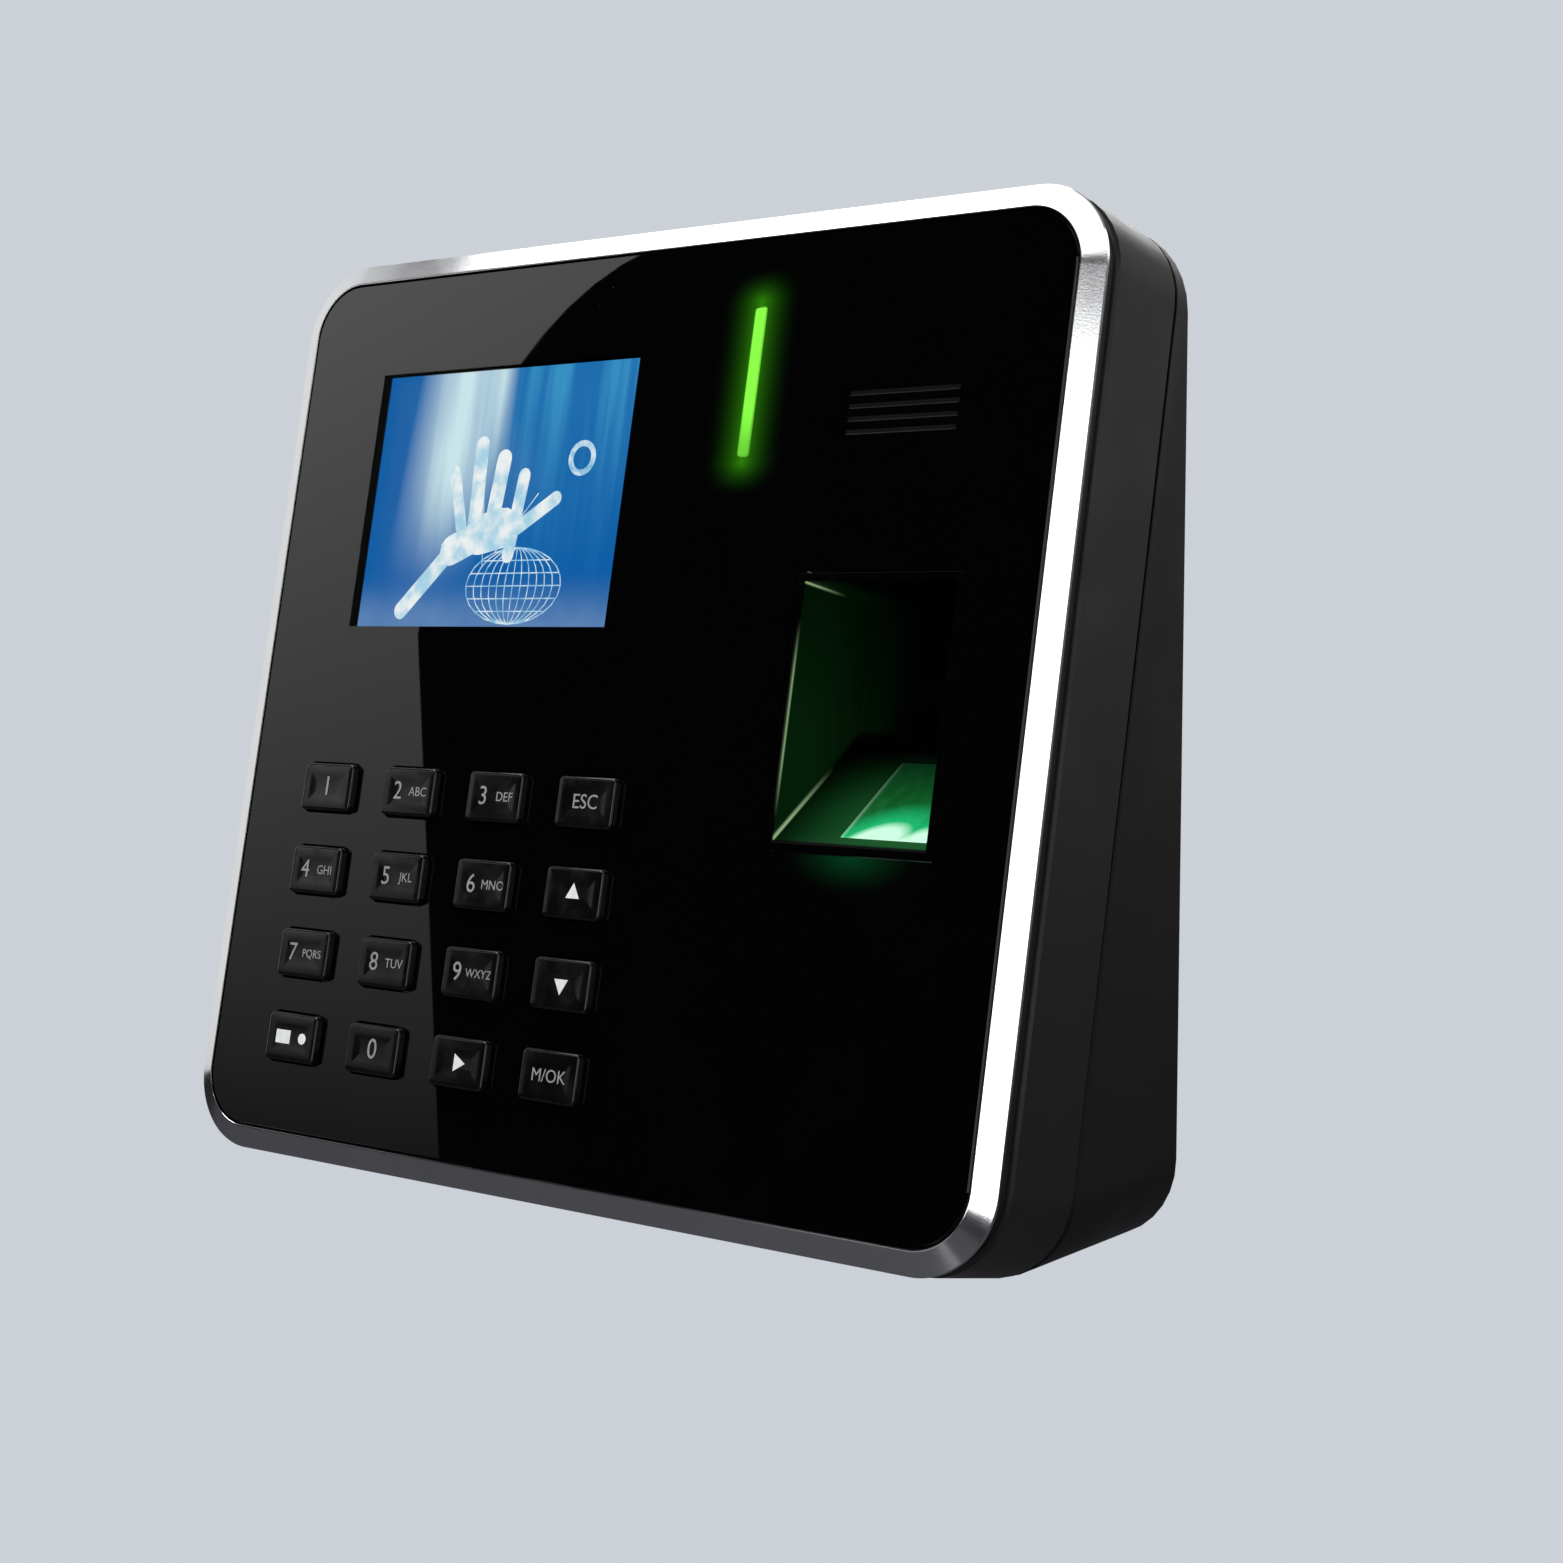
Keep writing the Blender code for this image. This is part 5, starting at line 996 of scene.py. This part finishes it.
class Growth:
    """A Geometry Nodes tree with named inputs, whose nodes give their first output."""

    def __init__(self, name, inputs):
        self.tree = bpy.data.node_groups.new(name, "GeometryNodeTree")
        panel = self.tree.interface
        panel.new_socket(name="Geometry", in_out="OUTPUT", socket_type="NodeSocketGeometry")
        panel.new_socket(name="Geometry", in_out="INPUT", socket_type="NodeSocketGeometry")
        for label, (kind, value) in inputs.items():
            made = panel.new_socket(name=label, in_out="INPUT", socket_type="NodeSocket" + kind)
            made.default_value = value
        self.size = self.tree.nodes.new("NodeGroupInput").outputs

    def add(self, kind, settings=None, inputs=None):
        return add_node(self.tree, kind, settings, inputs).outputs[0]

    def mesh(self, shape, **inputs):
        """A solid of one of Blender's simple shapes."""
        settings = {} if shape == "Cube" else {"fill_type": "NGON"}
        return self.add("GeometryNodeMesh" + shape, settings,
                        {label.replace("_", " "): value for label, value in inputs.items()})

    def row(self, item, count, pitch, start=SQUARE, turn=SQUARE):
        """Copies of an item along a line."""
        line = self.add("GeometryNodeMeshLine", None,
                        {"Count": count, "Start Location": start, "Offset": pitch})
        return self.copies(line, item, turn)

    def copies(self, points, item, turn=SQUARE):
        """A copy of an item at each point."""
        return self.add("GeometryNodeInstanceOnPoints", None,
                        {"Points": points, "Instance": item, "Rotation": turn})

    def lifted(self, item, lift):
        """An item moved along its own height."""
        return self.add("GeometryNodeTransform", None, {"Geometry": item, "Translation": lift})

    def along(self, axis, value, share=1.0):
        """A move along one axis by a share of a value."""
        reach = self.add("ShaderNodeMath", {"operation": "MULTIPLY"}, {0: value, 1: share})
        return self.add("ShaderNodeCombineXYZ", None, {axis: reach})

    def cut(self, item, tool, settings=None):
        """An item less a tool."""
        return self.add("GeometryNodeMeshBoolean", {"operation": "DIFFERENCE", "solver": "EXACT"},
                        {"Mesh 1": item, "Mesh 2": tool, **(settings or {})})

    def close(self, item, finish):
        """A copy of the item at each point of the piece, real and dressed in its finish."""
        placed = self.copies(self.size["Geometry"], item, self.size["Turn"])
        real = self.add("GeometryNodeRealizeInstances", None, {"Geometry": placed})
        dressed = self.add("GeometryNodeSetMaterial", None, {"Geometry": real, "Material": finish.material})
        add_node(self.tree, "NodeGroupOutput", None, {0: dressed})
        return self.tree


def grown_piece(name, points, tree, values, finish, body="housing"):
    """A mesh that a tree grows from points, as one plain mesh of a piece."""
    mesh = bpy.data.meshes.new(name)
    mesh.from_pydata(points, [], [])
    mesh.materials.append(finish.material)
    made = bpy.data.objects.new(name, mesh)
    bpy.context.scene.collection.objects.link(made)
    modifier = made.modifiers.new("grow", "NODES")
    modifier.node_group = tree
    for item in tree.interface.items_tree:
        if item.item_type == "SOCKET" and item.in_out == "INPUT" and item.name in values:
            modifier[item.identifier] = values[item.name]
    bake_modifiers(made)
    made.data.set_sharp_from_angle(angle=math.radians(40))
    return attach(made, body)


def screw_tree(finish):
    """A screw at each point: head, cross recess, shank and thread rings, turned one way."""
    growth = Growth("cross_screw", {
        "Head Radius": ("Float", SCREW_HEAD), "Head Height": ("Float", HEAD_HEIGHT),
        "Shank Length": ("Float", 0.010), "Shank Radius": ("Float", SHANK), "Threads": ("Int", 10),
        "Turn": ("Vector", SQUARE)})
    size = growth.size
    head = growth.mesh("Cylinder", Vertices=32, Radius=size["Head Radius"], Depth=size["Head Height"])
    crown = growth.mesh("Cone", Vertices=32, Side_Segments=1, Radius_Bottom=size["Head Radius"],
                        Radius_Top=CROWN_TOP, Depth=CROWN * 2)
    crown_up = growth.lifted(crown, growth.along("Z", size["Head Height"], 0.5))
    blank = growth.add("GeometryNodeMeshBoolean", {"operation": "UNION", "solver": "EXACT"},
                       {"Mesh 2": [head, crown_up]})
    slots = [growth.lifted(growth.mesh("Cube", Size=slot_size), (0.0, 0.0, HEAD_HEIGHT * 0.75))
             for slot_size in ((RECESS, RECESS_SLOT, HEAD_HEIGHT), (RECESS_SLOT, RECESS, HEAD_HEIGHT))]
    both_slots = growth.add("GeometryNodeJoinGeometry", None, {0: slots})
    cross = growth.cut(blank, both_slots, {"Self Intersection": True})
    shank = growth.mesh("Cylinder", Vertices=20, Radius=size["Shank Radius"], Depth=size["Shank Length"])
    shank_down = growth.lifted(shank, growth.along("Z", size["Shank Length"], -0.5))
    crest = growth.mesh("Cone", Vertices=20, Radius_Bottom=SHANK * 1.22, Radius_Top=SHANK * 0.95,
                        Depth=THREAD_PITCH * 0.45)
    threads = growth.row(crest, size["Threads"], (0.0, 0.0, -THREAD_PITCH), (0.0, 0.0, -THREAD_START))
    whole = growth.add("GeometryNodeJoinGeometry", None, {0: [cross, shank_down, threads]})
    return growth.close(whole, finish)


screw_zinc = Finish("screw_zinc", (0.55, 0.55, 0.53), 0.30, Metallic=1.0)
tool_marks = screw_zinc.noise(0.0008, 3.0)
tarnish = screw_zinc.noise(0.0025, 3.0).step(0.45, 0.70)
screw_zinc.set("Base Color", screw_zinc.mix(tarnish, (0.60, 0.60, 0.57), (0.38, 0.36, 0.33)))
screw_zinc.set("Roughness", tool_marks * 0.2 + tarnish * 0.15 + 0.16)
cross_screw = screw_tree(screw_zinc)


def screws(name, nodes, facing):
    """Replaces like screws with modelled ones; facing is the way their heads look."""
    ends = []
    for node in nodes:
        points = [vertex.co for vertex in NODES[node].data.vertices]
        top = max(point.dot(facing) for point in points)
        bottom = min(point.dot(facing) for point in points)
        low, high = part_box(node)
        middle = (low + high) / 2
        to_head = top - HEAD_HEIGHT / 2 - CROWN - middle.dot(facing)
        ends.append((middle + facing * to_head, top - bottom))
    length = min(end[1] for end in ends) - HEAD_HEIGHT - CROWN
    piece = grown_piece(name, [tuple(end[0]) for end in ends], cross_screw, {
        "Turn": facing.to_track_quat("Z", "Y").to_euler(), "Shank Length": length,
        "Threads": int((length - THREAD_FREE) / THREAD_PITCH)}, screw_zinc)
    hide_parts(*nodes)


CORNERS = ("top_left", "top_right", "bottom_left", "bottom_right")
screws("cover_screws", ["cover_screw_" + corner for corner in CORNERS], INWARD)
screws("board_screws", ["board_screw_" + corner for corner in CORNERS], INWARD)
screws("locking_screw", ["security_screw"], Vector((0, 0, -1)))

# ----------------------------------------
# Boards: glass-fibre laminate with green solder mask over copper tracks. Small parts are
# soldered in rows on the main board's rear side, around the processor and the coin cell.

TRACK = 0.00055
PART_SIZE = (0.0010, 0.0006, 0.0005)
PART_PITCH = 0.0030
PART_ROWS = ((-0.0050, -0.004, 9), (-0.0050, 0.001, 9), (-0.0500, 0.050, 7), (0.0060, 0.050, 7),
             (-0.0060, 0.040, 3))
SOLDER = 0.0001


def dress(node, finish):
    """A CAD node that keeps its shape and takes a modelled finish."""
    mesh = NODES[node].data
    mesh.materials.clear()
    mesh.materials.append(finish.material)


laminate = Finish("solder_mask", (0.006, 0.060, 0.022), 0.35)
across, depth, height = laminate.on_panel()
lane = (across * (2 * math.pi / (4 * TRACK))).math("SINE").step(0.55, 0.75)
lane_cross = (height * (2 * math.pi / (4 * TRACK))).math("SINE").step(0.55, 0.75)
quarter = laminate.noise(0.012, 1.0).step(0.48, 0.52)
tracks = lane * quarter + lane_cross * (1.0 - quarter)
laminate.set("Base Color", laminate.mix(tracks * 0.7, (0.004, 0.042, 0.016), (0.012, 0.110, 0.035)))
laminate.set("Roughness", tracks * 0.1 + 0.30)
laminate.bump(tracks, 0.00002)
for node in ("keypad_board", "main_board", "scanner_board"):
    dress(node, laminate)


def part_tree(finish):
    """A row of small box-shaped parts from each point, along the board."""
    growth = Growth("part_rows", {"Count": ("Int", 8), "Pitch": ("Float", PART_PITCH),
                                  "Size": ("Vector", PART_SIZE), "Turn": ("Vector", SQUARE)})
    size = growth.size
    part = growth.mesh("Cube", Size=size["Size"])
    return growth.close(growth.row(part, size["Count"], growth.along("X", size["Pitch"])), finish)


ceramic = Finish("ceramic_parts", (0.25, 0.18, 0.12), 0.45)
fired = ceramic.noise(0.0009, 2.0)
ceramic.set("Base Color", ceramic.mix(fired.step(0.4, 0.6), (0.10, 0.07, 0.05), (0.42, 0.34, 0.25)))
ceramic.set("Roughness", fired * 0.3 + 0.3)
ceramic_parts = part_tree(ceramic)
board_turn = ON_PANEL.to_euler()
part_depth = panel_box("main_board")[1].y + PART_SIZE[1] / 2 + SOLDER
for index, (x, z, count) in enumerate(PART_ROWS):
    start = tuple(ON_PANEL @ Vector((x, part_depth, z)))
    row = grown_piece(f"board_parts_{index}", [start], ceramic_parts,
                      {"Count": count, "Turn": board_turn}, ceramic)

# ----------------------------------------
# Packages and small parts that keep the CAD shape: black epoxy chips and switch, the tinned
# cell and display frame, the silicone key mat, the amber flex, the LED and the nylon plunger.

FILM_TRACK = 0.0010

epoxy = moulded("chip_epoxy", (0.014, 0.014, 0.015), 0.55, 0.0002, 0.00001)
for node in ("processor", "tamper_switch", "coin_cell_holder", "speaker", "scanner_camera",
             "scanner_housing"):
    dress(node, epoxy)
tinned = Finish("tinned_steel", (0.60, 0.60, 0.58), 0.28, Metallic=1.0)
brushed = tinned.noise(0.0004, 2.0, tinned.stretched(1.0, 0.05, 0.05))
tinned_stain = tinned.noise(0.006, 3.0).step(0.4, 0.7)
tinned.set("Base Color", tinned.mix(tinned_stain, (0.64, 0.64, 0.62), (0.46, 0.45, 0.43)))
tinned.set("Roughness", brushed * 0.2 + tinned_stain * 0.1 + 0.15)
tinned.bump(brushed, 0.000005)
for node in ("coin_cell", "lcd_frame"):
    dress(node, tinned)
dress("keypad_mat", moulded("key_rubber", (0.030, 0.030, 0.032), 0.70, 0.0005, 0.00001))
film = Finish("amber_film", (0.42, 0.20, 0.03), 0.30)
film_lines = (film.on_panel()[0] * (2 * math.pi / FILM_TRACK)).math("SINE").step(0.3, 0.6)
film.tones(film_lines, (0.30, 0.13, 0.02), (0.60, 0.32, 0.08), 0.1, 0.25)
dress("lcd_flex", film)
led_case = Finish("led_case", (0.50, 0.75, 0.45), 0.30)
led_case.tones(led_case.noise(0.001, 2.0), (0.40, 0.70, 0.35), (0.70, 0.85, 0.60), 0.2, 0.2)
dress("indicator_led", led_case)
plunger_nylon = moulded("plunger_nylon", (0.55, 0.54, 0.50), 0.45, 0.0004, 0.000006)
plunger = from_cad("tamper_plunger", "tamper_pin", plunger_nylon, 0.0002)
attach(plunger, "tamper_plunger")
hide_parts("tamper_plunger")

# ----------------------------------------
# Connectors: the network jack in its tinned shield with eight gold contacts, the power jack,
# the green terminal block with slotted clamp screws, and the service socket in the bottom edge.

CONTACTS = 8
CONTACT_PITCH = 0.00102
CONTACT_SIZE = (0.00045, 0.00025, 0.0070)
NETWORK_ROW = (-0.00365, 0.0060)
SERVICE_ROW = (0.0031, 0.0050)
TERMINALS = 5
TERMINAL_PITCH = 0.0038
CLAMP_RADIUS = 0.00125
CLAMP_HEIGHT = 0.0005
USB_CONTACTS = 4
USB_PITCH = 0.0022

gold = Finish("gold_contact", (0.90, 0.62, 0.24), 0.22, Metallic=1.0)
gold.tones(gold.noise(0.0008, 2.0), (0.95, 0.68, 0.28), (0.78, 0.52, 0.20), 0.2, 0.12)
jack_black = moulded("jack_plastic", (0.012, 0.012, 0.013), 0.42, 0.0003, 0.000008)
terminal_green = moulded("terminal_plastic", (0.010, 0.180, 0.045), 0.40, 0.0003, 0.000008)
for node, finish, slot in (("ethernet_jack", tinned, "zinc_steel"), ("usb_port", tinned, "zinc_steel"),
                           ("power_jack", jack_black, "connector_plastic"),
                           ("door_connector", terminal_green, "terminal_green")):
    socket = from_cad(node, node + "_body", finish, 0.0001)
    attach(socket, "housing")
    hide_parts(node)

gold_contacts = part_tree(gold)
jack_low = panel_box("ethernet_jack")[0]
jack_middle = panel_centre("ethernet_jack")
jack_row = ON_PANEL @ Vector((jack_middle.x - CONTACT_PITCH * (CONTACTS - 1) / 2,
                              jack_middle.y + NETWORK_ROW[0], jack_low.z + NETWORK_ROW[1]))
jack_pins = grown_piece("network_contacts", [tuple(jack_row)], gold_contacts, {
    "Count": CONTACTS, "Pitch": CONTACT_PITCH, "Size": CONTACT_SIZE, "Turn": board_turn}, gold)
usb_low = panel_box("usb_port")[0]
usb_row = ON_PANEL @ Vector((panel_centre("usb_port").x - USB_PITCH * (USB_CONTACTS - 1) / 2,
                             usb_low.y + SERVICE_ROW[0], usb_low.z + SERVICE_ROW[1]))
usb_pins = grown_piece("service_contacts", [tuple(usb_row)], gold_contacts, {
    "Count": USB_CONTACTS, "Pitch": USB_PITCH, "Size": CONTACT_SIZE, "Turn": board_turn}, gold)


def clamp_tree(finish):
    """A row of slotted clamp screws from each point."""
    growth = Growth("clamp_screws", {"Count": ("Int", TERMINALS), "Pitch": ("Float", TERMINAL_PITCH),
                                     "Radius": ("Float", CLAMP_RADIUS), "Turn": ("Vector", SQUARE)})
    size = growth.size
    head = growth.mesh("Cylinder", Vertices=24, Radius=size["Radius"], Depth=CLAMP_HEIGHT)
    groove = growth.mesh("Cube", Size=(CLAMP_RADIUS * 3, CLAMP_RADIUS * 0.4, CLAMP_HEIGHT))
    slotted = growth.cut(head, growth.lifted(groove, (0.0, 0.0, CLAMP_HEIGHT * 0.6)))
    faced = growth.row(slotted, size["Count"], growth.along("X", size["Pitch"]),
                       turn=(-math.pi / 2, 0.0, 0.0))
    return growth.close(faced, finish)


block = panel_centre("door_connector")
block_top = panel_box("door_connector")[1].y
clamp_row = ON_PANEL @ Vector((block.x - TERMINAL_PITCH * (TERMINALS - 1) / 2,
                               block_top + CLAMP_HEIGHT / 2 + SOLDER, block.z))
clamps = grown_piece("clamp_screws", [tuple(clamp_row)], clamp_tree(screw_zinc), {"Turn": board_turn},
                     screw_zinc)
